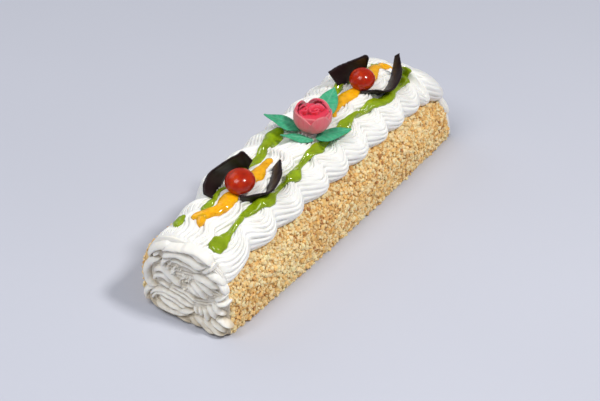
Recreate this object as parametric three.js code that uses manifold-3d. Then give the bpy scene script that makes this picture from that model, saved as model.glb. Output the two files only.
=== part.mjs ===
// Swiss roll cake: a sponge roll coated in chopped nuts, topped with three piped ribbons of
// whipped cream and capped with piped cream at both ends. Fruit gel runs along the valleys of
// the cream. Two glace cherries in chocolate shards and a sugar rose with four leaves sit on top.
//
// Millimetres. X runs along the roll, -X is the fully piped end, Z is up, the base is on z = 0.
// Places on the roll are given as (x, turn): turn is the angle in degrees round the roll from
// straight up, negative towards -Y.

import * as THREE from 'three';
import { mergeVertices } from 'three/addons/utils/BufferGeometryUtils.js';
import Module from 'manifold-3d';

// ---- Driving dimensions ---------------------------------------------------------------

const NEAR_X = -147; // end faces of the nut-coated roll
const FAR_X = 145;
const NEAR_CREAM = 9; // thickness of the piped cream on each end face
const FAR_CREAM = 12;
const NEAR_SPREAD = 7; // how far the near cream spreads out at its foot
const FAR_LEAN = 21; // how far the top of the far end leans back
const FAR_DROP = 0.08; // and sinks, as a share of the height
const FAR_SETTLED = 50; // length of the far end that leans and sinks
const GAP = 0.3; // clearance between pieces that touch

const ROLL_HEIGHT = 64; // nut-coated roll, without the cream
const WIDEST_Z = 20; // height of the widest place of the section
const MID_HALF_WIDTH = 43;
const NEAR_HALF_WIDTH = 38.5;
const FAR_HALF_WIDTH = 41;
const SECTION_POWER = 2.2; // squareness of the section above its widest place
const BASE_TUCK = 0.05; // how far the sides draw in at the base, as a share

const NUT_STEP = 4.8; // spacing of the nut bumps
const NUT_RELIEF = 1.3; // height of the nut bumps
const COATED_FROM = 39; // turn where the nut coat goes under the cream
const BARE_FACETS = 6; // flat strips across the covered top of the roll
const SEAT_CLEARANCE = 0.8; // of the cream's hollow over the covered top
const SEAT_RINGS = 17; // sections of the hollow under the cream
const COATED_TURNS = [COATED_FROM - 2, 50, 62, 76, 90]; // of the hollow beside the cream
const BARE_TURNS = [-30, -20, -10, 0, 10, 20, 30]; // and under it

const VALLEY_CREAM = 7.5; // cream thickness in the valleys between ribbons
const RIBBON_RISE = 5; // height of a ribbon's crest above the valleys
const FOLD_DEPTH = 2.4; // how far a ribbon sinks at the folds between its lobes
const CREAM_STEP = 5; // step of the cream's surface along the roll
const CREAM_TURN_STEP = 5; // and across it, in degrees of turn
const CREAM_DEPTH = 4; // how deep the top cream reaches into the roll before it is hollowed
const NEAR_THINNING = 0.42; // share of its thickness that the cream keeps at the near end
const NEAR_THINNED = 45; // length over which it thins
const EDGE_WAVE = 8; // how far the ribbon's lobes reach past its notches, in degrees
const EDGE_ROUND = 9; // width of the rounded outer edges, in degrees
const FOLD_SLANT = 16; // how far a fold leans along the roll from one border to the other
const FOLD_SHIFTS = [0, 11, 14]; // how far each ribbon's folds lag behind the first one's
const NOTCH_SHARE = 0.68; // place of the notch between two lobes, as a share of their spacing
const LOBE_POWER = 1.4; // how late a lobe falls away to its notch
const LOBES_X = [149, 121, 94, 72, 49, 20, -6, -31, -65, -98, -127, -158]; // outer lobes

// Borders of the ribbons, in degrees of turn
const RIGHT_EDGE = -51;
const RIGHT_VALLEY = -22;
const LEFT_VALLEY = 11;
const LEFT_EDGE = 49;
const LEFT_NARROWING = 9; // how far the left border draws in at the near end
const LEFT_NARROWED = 40; // length over which it draws in
const RIGHT_VALLEY_WAVE = 0.35; // wave of each valley, as a share of the outer edge's
const LEFT_VALLEY_WAVE = 0.4;
const LEFT_VALLEY_LAG = 9; // how far the waves of the left borders lag behind the right edge's
const LEFT_EDGE_LAG = 14;

const CAP_PASSES = 4; // level passes of the nozzle on each end
const PASS_RELIEF = 2.6; // depth of the furrows between them
const NEAR_PASS_SLOPE = 0.1; // rise of the passes towards +Y, per mm
const FAR_PASS_SLOPE = -0.1;
const CAP_HUB_SHARE = 0.05; // size of the innermost ring of a cap's flat back
const CAP_BACK_SHARE = 0.97; // and of its outermost one
const CAP_LIP = [[1, 0.3], [0.975, 0.65]]; // rings round a cap's rim: size, then share of its depth
const CAP_LEAST = 0.1; // share of its depth that a cap keeps in its furrows
const CAP_RINGS = 6;
const CAP_POINTS = 34;

const CHERRY_RADIUS = 10;
const CHERRY_ROUND = 12;
const CHERRY_ROWS = 8;
const LEAF_THICKNESS = 1;
const LEAF_ALONG = 7;
const LEAF_ACROSS = 4;
const LEAF_CURL = 0.9; // how far the sides of a leaf hang down
const LEAF_WAVE = 0.7; // height of the waves on it
const LEAF_STALK = 0.09; // half width of its two ends, as a share of its widest place
const CHOCOLATE_THICKNESS = 1.6;
const SHARD_STEPS = 12;

const GEL_RISE = 0.5; // height of a bead of gel as a share of its half width
const GEL_CROWN = 0.4; // and what is added to it
const GEL_EDGE = 0.6; // how deep the edges of a bead lie in the cream
const GEL_ROOT = 2.2; // how deep its middle does
const GEL_STEP = 10; // step of a bead along its line

const ROSE_RADIUS = 14;
const ROSE_FOOT = 0.82; // reach of the foot below the middle, as a share of the radius
const ROSE_STALK_FROM = 100; // angle from straight up where the rose begins to narrow to its foot
const BUD_WIDE = 0.87; // half width and height of the low dome inside, as shares of the radius
const BUD_TALL = 0.36;
const PETAL_DROOP = 52; // how far a petal's rim falls from its middle to its sides, in degrees
const PETAL_POWER = 2.5;
const ROSE_ROUND = 28;
const ROSE_ROWS = 14;
// petals: azimuth, half spread and rim angle from straight up in degrees, size
const PETALS = [
  [250, 60, 64, 1.05], [172, 76, 60, 1.02], [100, 58, 46, 1], [14, 56, 49, 1],
  [310, 54, 55, 0.98], [212, 66, 60, 0.93], [52, 60, 54, 0.9], [275, 58, 56, 0.89],
  [135, 60, 55, 0.88],
];

// ---- Places of the toppings -------------------------------------------------------------

const CHERRIES = {
  cherry_front: { at: [-88.5, -5, 83], squash: [1.08, 1, 0.94] },
  cherry_back: { at: [69, -5, 83], squash: [0.96, 0.96, 0.96] },
};

const ROSE_AT = [0.5, -6, 88.3];

// base and tip of the midrib, half width, height of the arch, twist of the blade in degrees
const LEAVES = {
  leaf_left: { base: [-7.5, 2.5, 76.2], tip: [-13, 27.5, 84.5], half: 8.4, arch: 1.2, twist: 14 },
  leaf_front: { base: [-9.5, -13.5, 75.2], tip: [-21, 7.5, 78.5], half: 4.8, arch: 1, twist: 4 },
  leaf_right: { base: [-2.5, -15.5, 75], tip: [17.5, -28.5, 75.6], half: 7.4, arch: 1.6, twist: -6 },
  leaf_back: { base: [14.5, -4, 78], tip: [43.5, 3, 86], half: 8, arch: 1.4, twist: 6 },
};

// stations along each shard: foot x, y, z, then rim x, y, z
const CHOCOLATE = {
  chocolate_plate_front: [
    [-102, 8.5, 71, -106.5, 13.5, 75.5],
    [-95, 10.5, 71, -104.5, 15.5, 79.5],
    [-88, 12, 71, -101, 16.5, 82.5],
    [-80, 15.5, 71, -94.5, 17.5, 84.5],
    [-72.5, 17, 71.5, -87.5, 15.5, 86.5],
    [-67.5, 15, 71.5, -77, 12.5, 88.5],
    [-64.5, 11, 71.5, -70.5, 9.5, 90],
    [-62.5, 7, 72.5, -67, 8, 91],
    [-64.5, 5, 76, -64, 1.5, 84],
  ],
  chocolate_crescent_front: [
    [-97, -10.5, 75.5, -98, -11.5, 79],
    [-92.5, -12, 70, -94.5, -15.5, 78.5],
    [-88.5, -14, 67.5, -90.5, -18.5, 78.5],
    [-83.5, -16, 67.5, -87, -23.5, 79.5],
    [-78.5, -16.5, 67.5, -82, -27.5, 80],
    [-75, -16.5, 68.5, -72, -26, 81],
    [-68.5, -14, 69.5, -64, -23.5, 82.5],
    [-61, -11.5, 70.5, -59.5, -20, 84.5],
    [-52, -6.5, 72, -55.5, -16.5, 87],
  ],
  chocolate_plate_back: [
    [64, 12, 71.5, 55, 16.5, 89],
    [70.5, 10.5, 71.5, 65, 14, 90],
    [80.5, 11, 71.5, 73, 10.5, 90.5],
    [87.5, 10.5, 72.5, 81, 6.5, 91],
    [92, 7, 75, 89, 4.5, 90.5],
    [92.5, 6, 77, 90, 2.5, 87],
  ],
  chocolate_crescent_back: [
    [60, -9, 76.5, 59.8, -10.3, 79],
    [65.5, -9.5, 72, 64, -14, 78.5],
    [71.5, -11, 69.5, 68.5, -18, 78],
    [75.5, -14, 68.5, 70.5, -25, 78.5],
    [80, -16, 69, 75.5, -29, 79.5],
    [86.5, -15, 69.5, 86.5, -27.5, 81],
    [92.5, -14, 70.5, 94, -24.5, 83],
    [99, -12, 71.5, 97.5, -21.5, 86],
    [101.5, -12.5, 80, 98.5, -19.5, 90],
    [101, -14, 90, 100, -18, 94],
  ],
};

// each bead of gel: x, turn, half width
const GEL_LINES = [
  // yellow, front and back
  [[-141, -7, 3.2], [-135, -2, 4.6], [-122, -5, 2.4], [-108, -6.5, 4.2], [-96, -5, 3.2]],
  [[-80, -6, 3.4], [-71, -8, 4.6], [-60, -6, 2], [-50, -4.5, 2.2]],
  [[24, -8, 2.2], [34, -4, 2.4], [46, -2, 4.2], [57, -3, 4.4], [64, -4, 2.4]],
  [[76, -4, 2.6], [88, -2.5, 3.6], [100, -2, 3], [113, -3, 4]],
  // green, in the right valley
  [[-145, -24, 3.2], [-139, -23, 4.6], [-131, -21.5, 3.6], [-120, -21, 1.8], [-104, -20, 1.8],
    [-92, -22, 3.6], [-82, -25, 4.6], [-72, -24, 2], [-58, -22.5, 1.8], [-48, -24.5, 4.2],
    [-37, -21, 1.8], [-24, -19, 2.2], [-11, -20, 3.8], [2, -19, 2], [14, -20, 2.4],
    [24, -20, 4.2], [35, -18.5, 1.8], [47, -19.5, 1.8], [60, -22, 3.8], [74, -25, 4],
    [86, -25, 1.8], [99, -22, 4], [106, -20, 1.6], [113, -18, 2.6]],
  // green, in the left valley
  [[-143, 12, 3], [-136, 14, 4], [-122, 10, 1.4], [-108, 5, 2.2], [-98, 8, 1.6], [-84, 9, 1.8],
    [-62, 6, 1.8], [-50, 7, 2.2], [-38, 9, 1.8], [-26, 12, 3.6], [-14, 11, 1.8]],
  [[30, 14, 2], [48, 12, 1.8], [68, 14, 2.2], [88, 5, 1.8], [100, 6, 2.2], [108, 6, 1.6]],
];

// ---- Small helpers ------------------------------------------------------------------------

const wasm = await Module();
wasm.setup();

const { degToRad, radToDeg, lerp, clamp, smoothstep } = THREE.MathUtils;

/** Repeatable random number in 0..1 for a pair of whole numbers. */
function hash(i, j) {
  const v = Math.sin(i * 127.1 + j * 311.7) * 43758.5453;
  return v - Math.floor(v);
}

/** Vector through (x, y, z). */
const vec = (x, y, z) => new THREE.Vector3(x, y, z);

/** Closed indexed geometry from a list of points and a list of triangles. */
function bodyFrom(points, triangles) {
  const geometry = new THREE.BufferGeometry();
  const position = new Float32Array(points.flatMap((p) => [p.x, p.y, p.z]));
  geometry.setAttribute('position', new THREE.BufferAttribute(position, 3));
  geometry.setIndex(triangles.flat());
  return geometry;
}

/** Body lofted through rings of equally many points, closed with a fan at each end. */
function loft(rings) {
  const size = rings[0].length;
  const points = rings.flat();
  const triangles = [];
  for (let r = 0; r + 1 < rings.length; r++) {
    for (let k = 0; k < size; k++) {
      const a = r * size + k;
      const b = r * size + ((k + 1) % size);
      // alternate the diagonals so that staggered rings give even triangles
      if ((r + k) % 2) triangles.push([a, b, b + size], [a, b + size, a + size]);
      else triangles.push([a, b, a + size], [b, b + size, a + size]);
    }
  }
  for (const [ring, start, flip] of [[rings[0], 0, true], [rings.at(-1), points.length - size, false]]) {
    const hub = points.length;
    points.push(ring.reduce((sum, p) => sum.add(p), vec(0, 0, 0)).divideScalar(size));
    for (let k = 0; k < size; k++) {
      const a = start + k;
      const b = start + ((k + 1) % size);
      triangles.push(flip ? [hub, b, a] : [hub, a, b]);
    }
  }
  return bodyFrom(points, triangles);
}

/** Manifold body of a closed geometry, turned inside out first if its faces point inwards. */
function solid(geometry) {
  const bare = geometry.clone();
  bare.deleteAttribute('normal');
  bare.deleteAttribute('uv');
  const merged = mergeVertices(bare, 1e-4);
  const triVerts = new Uint32Array(merged.index.array);
  if (signedVolume(merged) < 0) {
    for (let t = 0; t < triVerts.length; t += 3) {
      [triVerts[t + 1], triVerts[t + 2]] = [triVerts[t + 2], triVerts[t + 1]];
    }
  }
  const vertProperties = new Float32Array(merged.attributes.position.array);
  return new wasm.Manifold(new wasm.Mesh({ numProp: 3, vertProperties, triVerts }));
}

/** Six times the enclosed volume; negative if the faces point inwards. */
function signedVolume(geometry) {
  const position = geometry.attributes.position;
  const index = geometry.index.array;
  const [a, b, c] = [vec(0, 0, 0), vec(0, 0, 0), vec(0, 0, 0)];
  let sum = 0;
  for (let t = 0; t < index.length; t += 3) {
    a.fromBufferAttribute(position, index[t]);
    b.fromBufferAttribute(position, index[t + 1]);
    c.fromBufferAttribute(position, index[t + 2]);
    sum += a.dot(b.cross(c));
  }
  return sum;
}

/** The largest single body of a manifold, as a geometry. */
function largestBody(manifold) {
  const bodies = manifold.decompose();
  const best = bodies.reduce((a, b) => (b.volume() > a.volume() ? b : a));
  const mesh = best.getMesh();
  const geometry = new THREE.BufferGeometry();
  geometry.setAttribute('position', new THREE.BufferAttribute(mesh.vertProperties, 3));
  geometry.setIndex(new THREE.BufferAttribute(mesh.triVerts, 1));
  return geometry;
}

/** Smooth value at x through the stations [[x, ...values]], as an array of values. */
function alongStations(stations, steps) {
  const curves = stations[0].map((_, c) => new THREE.SplineCurve(
    stations.map((station, i) => new THREE.Vector2(i / (stations.length - 1), station[c])),
  ));
  const at = (t) => curves.map((curve) => curve.getPoint(t).y);
  return Array.from({ length: steps + 1 }, (_, i) => at(i / steps));
}

// ---- Form of the roll and of its cream -------------------------------------------------------

/** Half width of the roll at x: fuller in the middle. */
function halfWidth(x) {
  const end = x < 0 ? NEAR_HALF_WIDTH : FAR_HALF_WIDTH;
  return lerp(MID_HALF_WIDTH, end, (x / FAR_X) ** 2);
}

/** Settles a point of the straight cake: the far end leans back, the near foot spreads. */
function settle(point) {
  const far = smoothstep(point.x, FAR_X - FAR_SETTLED, FAR_X);
  const near = smoothstep(-point.x, -NEAR_X, NEAR_CREAM / 2 - NEAR_X);
  const foot = clamp(1 - point.z / WIDEST_Z, 0, 1) ** 2;
  const height = point.z / ROLL_HEIGHT;
  return vec(
    point.x - FAR_LEAN * far * height - NEAR_SPREAD * near * foot,
    point.y,
    point.z * (1 - FAR_DROP * far),
  );
}

/** Point on the section at x, above the widest place, lifted by off. */
function crownPoint(x, turn, off) {
  const angle = degToRad(turn);
  const [sin, cos] = [Math.sin(angle), Math.cos(angle)];
  const a = halfWidth(x);
  const b = ROLL_HEIGHT - WIDEST_Z;
  const power = SECTION_POWER;
  const r = (Math.abs(sin / a) ** power + Math.abs(cos / b) ** power) ** (-1 / power);
  return vec(x, (r + off) * sin, WIDEST_Z + (r + off) * cos);
}

/** Point on the side of the section at x, from the widest place (share 0) down to the base. */
function flankPoint(x, side, share, off) {
  const y = halfWidth(x) * (1 - BASE_TUCK * share ** 2) + off;
  return vec(x, side * y, WIDEST_Z * (1 - share));
}

/** Distance the ribbon's outer edge draws in at x, in degrees: 0 at a lobe, most at a notch. */
function edgeDraw(x) {
  const k = LOBES_X.findIndex((lobe) => lobe <= x);
  if (k <= 0) return 0;
  const t = (LOBES_X[k - 1] - x) / (LOBES_X[k - 1] - LOBES_X[k]);
  if (t < NOTCH_SHARE) return EDGE_WAVE * (t / NOTCH_SHARE) ** LOBE_POWER;
  const u = (t - NOTCH_SHARE) / (1 - NOTCH_SHARE);
  return EDGE_WAVE * (1 - Math.sqrt(1 - (1 - u) ** 2));
}

/** Share 0..1 that thins the cream towards the near end. */
function endTaper(x) {
  return lerp(NEAR_THINNING, 1, smoothstep(x, NEAR_X, NEAR_X + NEAR_THINNED));
}

/** Turns of the four borders of the three ribbons at x, from -Y to +Y. */
function ribbonBorders(x) {
  const draw = edgeDraw(x);
  const narrowing = LEFT_NARROWING * (1 - smoothstep(x, NEAR_X, NEAR_X + LEFT_NARROWED));
  return [
    RIGHT_EDGE + draw,
    RIGHT_VALLEY + RIGHT_VALLEY_WAVE * draw,
    LEFT_VALLEY - LEFT_VALLEY_WAVE * edgeDraw(x + LEFT_VALLEY_LAG),
    LEFT_EDGE - edgeDraw(x + LEFT_EDGE_LAG) - narrowing,
  ];
}

/** Thickness of the cream at (x, turn): a round crest on each ribbon, sunk at its folds. */
function creamThickness(x, turn) {
  const borders = ribbonBorders(x);
  const ribbon = clamp(borders.findIndex((border) => turn <= border) - 1, 0, 2);
  const across = clamp((turn - borders[ribbon]) / (borders[ribbon + 1] - borders[ribbon]), 0, 1);
  const crest = Math.sqrt(Math.sin(Math.PI * across));
  const slant = FOLD_SLANT * (across - 0.5) * (ribbon === 2 ? -1 : 1);
  const fold = edgeDraw(x + FOLD_SHIFTS[ribbon] + slant) / EDGE_WAVE;
  const edge = Math.min((turn - borders[0]) / EDGE_ROUND, (borders[3] - turn) / EDGE_ROUND);
  const shoulder = Math.sqrt(clamp(edge, 0, 1));
  const rise = RIBBON_RISE - FOLD_DEPTH * fold ** 2;
  return (VALLEY_CREAM * shoulder + rise * crest) * endTaper(x);
}

/** Point on the cream at (x, turn), lifted by off above its smooth thickness. */
function onCream(x, turn, off) {
  return crownPoint(x, turn, creamThickness(x, turn) + off);
}

// ---- The roll ------------------------------------------------------------------------------

/** The nut-coated roll. */
function rollBody() {
  const count = Math.round((FAR_X - NEAR_X) / NUT_STEP);
  const flankSteps = Math.round(WIDEST_Z / NUT_STEP);
  const crownSteps = Math.round((degToRad(90 - COATED_FROM) * MID_HALF_WIDTH) / NUT_STEP);
  const rings = [];
  for (let i = 0; i <= count; i++) {
    const x = lerp(NEAR_X, FAR_X, i / count);
    rings.push([
      ...coatedSide(x, i, -1, flankSteps, crownSteps),
      ...Array.from({ length: BARE_FACETS - 1 }, (_, k) => (
        crownPoint(x, lerp(-COATED_FROM, COATED_FROM, (k + 1) / BARE_FACETS), 0)
      )),
      ...coatedSide(x, i, 1, flankSteps, crownSteps).reverse(),
    ].map(settle));
  }
  return solid(loft(rings));
}

/** One coated side of ring i, from the base up to the cream, with a bump at each nut. */
function coatedSide(x, i, side, flankSteps, crownSteps) {
  const points = [flankPoint(x, side, 1, 0)];
  const stagger = i % 2 ? 0.5 : 0;
  for (let k = 1; k < flankSteps + crownSteps; k++) {
    const row = k - stagger;
    const bump = NUT_RELIEF * (hash(i, side * k) * 2 - 1);
    if (row < flankSteps) points.push(flankPoint(x, side, 1 - row / flankSteps, bump));
    else {
      const turn = lerp(90, COATED_FROM, (row - flankSteps) / crownSteps);
      points.push(crownPoint(x, side * turn, bump));
    }
  }
  points.push(crownPoint(x, side * COATED_FROM, 0));
  return points;
}

/** Smooth body that the cream is hollowed with: it clears the roll and the nuts on it. */
function creamSeat() {
  const overNuts = SEAT_CLEARANCE + NUT_RELIEF;
  const rings = Array.from({ length: SEAT_RINGS }, (_, i) => {
    const x = lerp(NEAR_X - GAP, FAR_X + GAP, i / (SEAT_RINGS - 1));
    const coated = (side) => COATED_TURNS.map((turn) => crownPoint(x, side * turn, overNuts));
    return [
      flankPoint(x, -1, 1, overNuts),
      ...coated(-1).reverse(),
      ...BARE_TURNS.map((turn) => crownPoint(x, turn, SEAT_CLEARANCE)),
      ...coated(1),
      flankPoint(x, 1, 1, overNuts),
    ].map(settle);
  });
  return solid(loft(rings));
}

// ---- The cream -------------------------------------------------------------------------------

/** Turns of the surface rows between two borders, as many as their plain distance takes. */
function rowsBetween(from, to, plainWidth) {
  const count = Math.round(plainWidth / CREAM_TURN_STEP);
  return Array.from({ length: count }, (_, k) => lerp(from, to, k / count));
}

/** The three ribbons over the top as one body that reaches down into the roll. */
function topCreamBody() {
  const plain = [RIGHT_EDGE, RIGHT_VALLEY, LEFT_VALLEY, LEFT_EDGE];
  const count = Math.round((FAR_X - NEAR_X) / CREAM_STEP);
  const rings = [];
  for (let i = 0; i <= count; i++) {
    const x = lerp(NEAR_X, FAR_X, i / count);
    const borders = ribbonBorders(x);
    const turns = [0, 1, 2].flatMap((r) => (
      rowsBetween(borders[r], borders[r + 1], plain[r + 1] - plain[r])
    ));
    turns.push(borders[3]);
    rings.push([
      crownPoint(x, borders[0] - 1, -CREAM_DEPTH),
      ...turns.map((turn) => onCream(x, turn, 0)),
      crownPoint(x, borders[3] + 1, -CREAM_DEPTH),
    ].map(settle));
  }
  return solid(loft(rings));
}

/** A bead of gel laid along the cream, sunk a little into it. */
function gelBody(line) {
  const length = line.at(-1)[0] - line[0][0];
  const samples = alongStations(line, Math.max(4, Math.round(length / GEL_STEP)));
  const rings = samples.map(([x, turn, half], i) => {
    const next = samples[Math.min(i + 1, samples.length - 1)];
    const last = samples[Math.max(i - 1, 0)];
    const ahead = onCream(next[0], next[1], 0).sub(onCream(last[0], last[1], 0)).normalize();
    const centre = onCream(x, turn, 0);
    const up = crownPoint(x, turn, 1).sub(crownPoint(x, turn, 0)).normalize();
    const across = new THREE.Vector3().crossVectors(ahead, up).normalize();
    const end = i === 0 || i === samples.length - 1 ? 0.5 : 1;
    const place = (side, lift) => centre.clone()
      .addScaledVector(across, side * half * end)
      .addScaledVector(up, lift);
    const rise = GEL_RISE * half * end + GEL_CROWN;
    return [
      place(-1, -GEL_EDGE),
      place(-0.5, rise),
      place(0.5, rise),
      place(1, -GEL_EDGE),
      place(0, -GEL_ROOT),
    ].map(settle);
  });
  return solid(loft(rings));
}

// Cream caps on the end faces, piped in level passes one above the other

/** Rim of a cap at angle a from straight up, in the plane of the roll's end face. */
function capRim(endX, a) {
  const turn = radToDeg(a);
  if (Math.abs(turn) <= 90) return onCream(endX, turn, 0);
  const side = Math.sign(a);
  const cornerAngle = Math.atan2(WIDEST_Z, halfWidth(endX)) + Math.PI / 2;
  if (Math.abs(a) <= cornerAngle) {
    const drop = Math.tan(Math.abs(a) - Math.PI / 2) * halfWidth(endX);
    return flankPoint(endX, side, clamp(drop / WIDEST_Z, 0, 1), 0);
  }
  const corner = flankPoint(endX, side, 1, 0);
  return corner.setY((corner.y * (Math.PI - Math.abs(a))) / (Math.PI - cornerAngle));
}

/** Depth of the furrow at (y, z): 0 on the crest of a pass, most between two passes. */
function furrow(y, z, slope) {
  const pass = ((z - slope * y) / ROLL_HEIGHT) * CAP_PASSES;
  return PASS_RELIEF * Math.abs(Math.cos(Math.PI * pass)) ** 3;
}

/** Pillow of cream on the end face at endX, depth thick, facing away from the middle. */
function capBody(endX, depth, slope) {
  const out = Math.sign(endX);
  const hub = vec(endX, 0, ROLL_HEIGHT / 2);
  const ring = (share, rise) => Array.from({ length: CAP_POINTS }, (_, k) => {
    const point = hub.clone().lerp(capRim(endX, lerp(-Math.PI, Math.PI, k / CAP_POINTS)), share);
    // only inside the rim do the furrows cut into the pillow
    const cut = share < 1 ? furrow(point.y, point.z, slope) : 0;
    point.x += out * (GAP + Math.max(depth * rise - cut, CAP_LEAST * depth * rise));
    return settle(point);
  });
  const rings = [ring(CAP_HUB_SHARE, 0), ring(CAP_BACK_SHARE, 0)];
  for (const [share, rise] of CAP_LIP) rings.push(ring(share, rise));
  for (let r = 1; r <= CAP_RINGS; r++) {
    const share = 1 - r / (CAP_RINGS + 0.5);
    rings.push(ring(share, Math.sqrt(1 - share ** 4)));
  }
  return solid(loft(rings));
}

// ---- Toppings ----------------------------------------------------------------------------------

/** A cherry, grown by off. */
function cherryGeometry({ at, squash }, off) {
  const ball = new THREE.SphereGeometry(1, CHERRY_ROUND, CHERRY_ROWS);
  ball.rotateX(Math.PI / 2);
  const radii = squash.map((share) => share * CHERRY_RADIUS + off);
  return ball.scale(...radii).translate(...at);
}

/** Share of the radius in direction (round, down): the outermost petal there, or the dome. */
function roseRadius(round, down) {
  const angle = degToRad(down);
  let radius = 1 / Math.hypot(Math.sin(angle) / BUD_WIDE, Math.cos(angle) / BUD_TALL);
  for (const [azimuth, spread, rim, size] of PETALS) {
    const apart = Math.abs(((round - azimuth + 540) % 360) - 180) / spread;
    const rimHere = rim + PETAL_DROOP * apart ** PETAL_POWER;
    if (down > rimHere) radius = Math.max(radius, size);
  }
  // the cup narrows to a stalk below
  return radius * lerp(1, ROSE_FOOT, smoothstep(down, ROSE_STALK_FROM, 180));
}

/** The rose as overlapping petals round a bud, grown by off. */
function roseGeometry(off) {
  const points = [vec(0, 0, ROSE_RADIUS * BUD_TALL + off)];
  for (let r = 1; r < ROSE_ROWS; r++) {
    const down = (180 * r) / ROSE_ROWS;
    for (let k = 0; k < ROSE_ROUND; k++) {
      const round = (360 * (k + (r % 2) / 2)) / ROSE_ROUND;
      const radius = ROSE_RADIUS * roseRadius(round, down) + off;
      const flat = radius * Math.sin(degToRad(down));
      points.push(vec(
        flat * Math.cos(degToRad(round)),
        flat * Math.sin(degToRad(round)),
        radius * Math.cos(degToRad(down)),
      ));
    }
  }
  points.push(vec(0, 0, -ROSE_RADIUS * ROSE_FOOT - off));
  const triangles = [];
  const at = (r, k) => 1 + (r - 1) * ROSE_ROUND + ((k + ROSE_ROUND) % ROSE_ROUND);
  for (let k = 0; k < ROSE_ROUND; k++) {
    triangles.push([0, at(1, k), at(1, k + 1)]);
    triangles.push([points.length - 1, at(ROSE_ROWS - 1, k + 1), at(ROSE_ROWS - 1, k)]);
    for (let r = 1; r + 1 < ROSE_ROWS; r++) {
      const shift = r % 2 ? 1 : 0;
      const [a, b] = [at(r, k), at(r, k + 1)];
      const [c, d] = [at(r + 1, k + shift), at(r + 1, k + 1 + shift)];
      if (shift) triangles.push([a, at(r + 1, k), c], [a, c, b]);
      else triangles.push([a, c, b], [b, c, d]);
    }
  }
  return bodyFrom(points, triangles).translate(...ROSE_AT);
}

/** A thin wavy leaf, both faces triangulated alike, grown by off. */
function leafGeometry({ base, tip, half, arch, twist }, off) {
  const [from, to] = [vec(...base), vec(...tip)];
  const length = from.distanceTo(to);
  const ahead = to.clone().sub(from).normalize();
  const level = new THREE.Vector3().crossVectors(vec(0, 0, 1), ahead).normalize();
  const across = level.applyAxisAngle(ahead, degToRad(twist));
  const up = new THREE.Vector3().crossVectors(ahead, across).normalize();
  const upper = [];
  const lower = [];
  for (let i = 0; i <= LEAF_ALONG; i++) {
    const t = i / LEAF_ALONG;
    const arc = Math.sin(Math.PI * t);
    const reach = (half + off) * Math.max(Math.sin(Math.PI * t ** 0.85) ** 0.8, LEAF_STALK);
    for (let j = 0; j <= LEAF_ACROSS; j++) {
      const v = (2 * j) / LEAF_ACROSS - 1;
      const wave = LEAF_WAVE * Math.sin(7 * t + 2.5 * v) - LEAF_CURL * v * v;
      const middle = from.clone().addScaledVector(ahead, lerp(-off, length + off, t))
        .addScaledVector(across, reach * v)
        .addScaledVector(up, (arch + wave) * arc);
      upper.push(middle.clone().addScaledVector(up, LEAF_THICKNESS / 2 + off));
      lower.push(middle.clone().addScaledVector(up, -LEAF_THICKNESS / 2 - off));
    }
  }
  const triangles = [];
  const cols = LEAF_ACROSS + 1;
  const under = upper.length;
  for (let i = 0; i < LEAF_ALONG; i++) {
    for (let j = 0; j < LEAF_ACROSS; j++) {
      const [a, b] = [i * cols + j, i * cols + j + 1];
      const [c, d] = [a + cols, b + cols];
      triangles.push([a, c, b], [b, c, d]);
      triangles.push([a + under, b + under, c + under], [b + under, d + under, c + under]);
    }
  }
  const rim = [];
  for (let j = 0; j < LEAF_ACROSS; j++) rim.push(j);
  for (let i = 0; i < LEAF_ALONG; i++) rim.push(i * cols + LEAF_ACROSS);
  for (let j = LEAF_ACROSS; j > 0; j--) rim.push(LEAF_ALONG * cols + j);
  for (let i = LEAF_ALONG; i > 0; i--) rim.push(i * cols);
  rim.forEach((a, k) => {
    const b = rim[(k + 1) % rim.length];
    triangles.push([a, b, a + under], [b, b + under, a + under]);
  });
  return bodyFrom([...upper, ...lower], triangles);
}

/** A curved chocolate shard, a band between its foot and its rim, grown by off. */
function shardGeometry(stations, off) {
  const samples = alongStations(stations, SHARD_STEPS).map((values) => (
    [vec(...values.slice(0, 3)), vec(...values.slice(3))]
  ));
  const middles = samples.map(([foot, rim]) => foot.clone().lerp(rim, 0.5));
  const rings = samples.map(([foot, rim], i) => {
    const last = middles[Math.max(i - 1, 0)];
    const next = middles[Math.min(i + 1, middles.length - 1)];
    const ahead = next.clone().sub(last).normalize();
    const rise = rim.clone().sub(foot).normalize();
    const side = new THREE.Vector3().crossVectors(rise, ahead).setLength(CHOCOLATE_THICKNESS / 2 + off);
    rise.multiplyScalar(off);
    // the two ends move out with the faces
    const push = ahead.multiplyScalar(i === 0 ? -off : off * Number(i === samples.length - 1));
    const low = foot.clone().sub(rise).add(push);
    const high = rim.clone().add(rise).add(push);
    return [low.clone().add(side), high.clone().add(side), high.sub(side), low.sub(side)];
  });
  return loft(rings);
}

// ---- Assembly ------------------------------------------------------------------------------------

const toppings = {};
for (const [name, cherry] of Object.entries(CHERRIES)) {
  toppings[name] = (off) => cherryGeometry(cherry, off);
}
toppings.rose = roseGeometry;
for (const [name, leaf] of Object.entries(LEAVES)) {
  toppings[name] = (off) => leafGeometry(leaf, off);
}
for (const [name, stations] of Object.entries(CHOCOLATE)) {
  toppings[name] = (off) => shardGeometry(stations, off);
}

const roll = rollBody();
const seat = creamSeat();

let topCream = topCreamBody();
for (const line of GEL_LINES) topCream = topCream.add(gelBody(line));
topCream = topCream.subtract(seat);
for (const makeTopping of Object.values(toppings)) {
  topCream = topCream.subtract(solid(makeTopping(GAP)));
}

const nearCap = capBody(NEAR_X, NEAR_CREAM, NEAR_PASS_SLOPE);
const farCap = capBody(FAR_X, FAR_CREAM, FAR_PASS_SLOPE);

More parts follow.
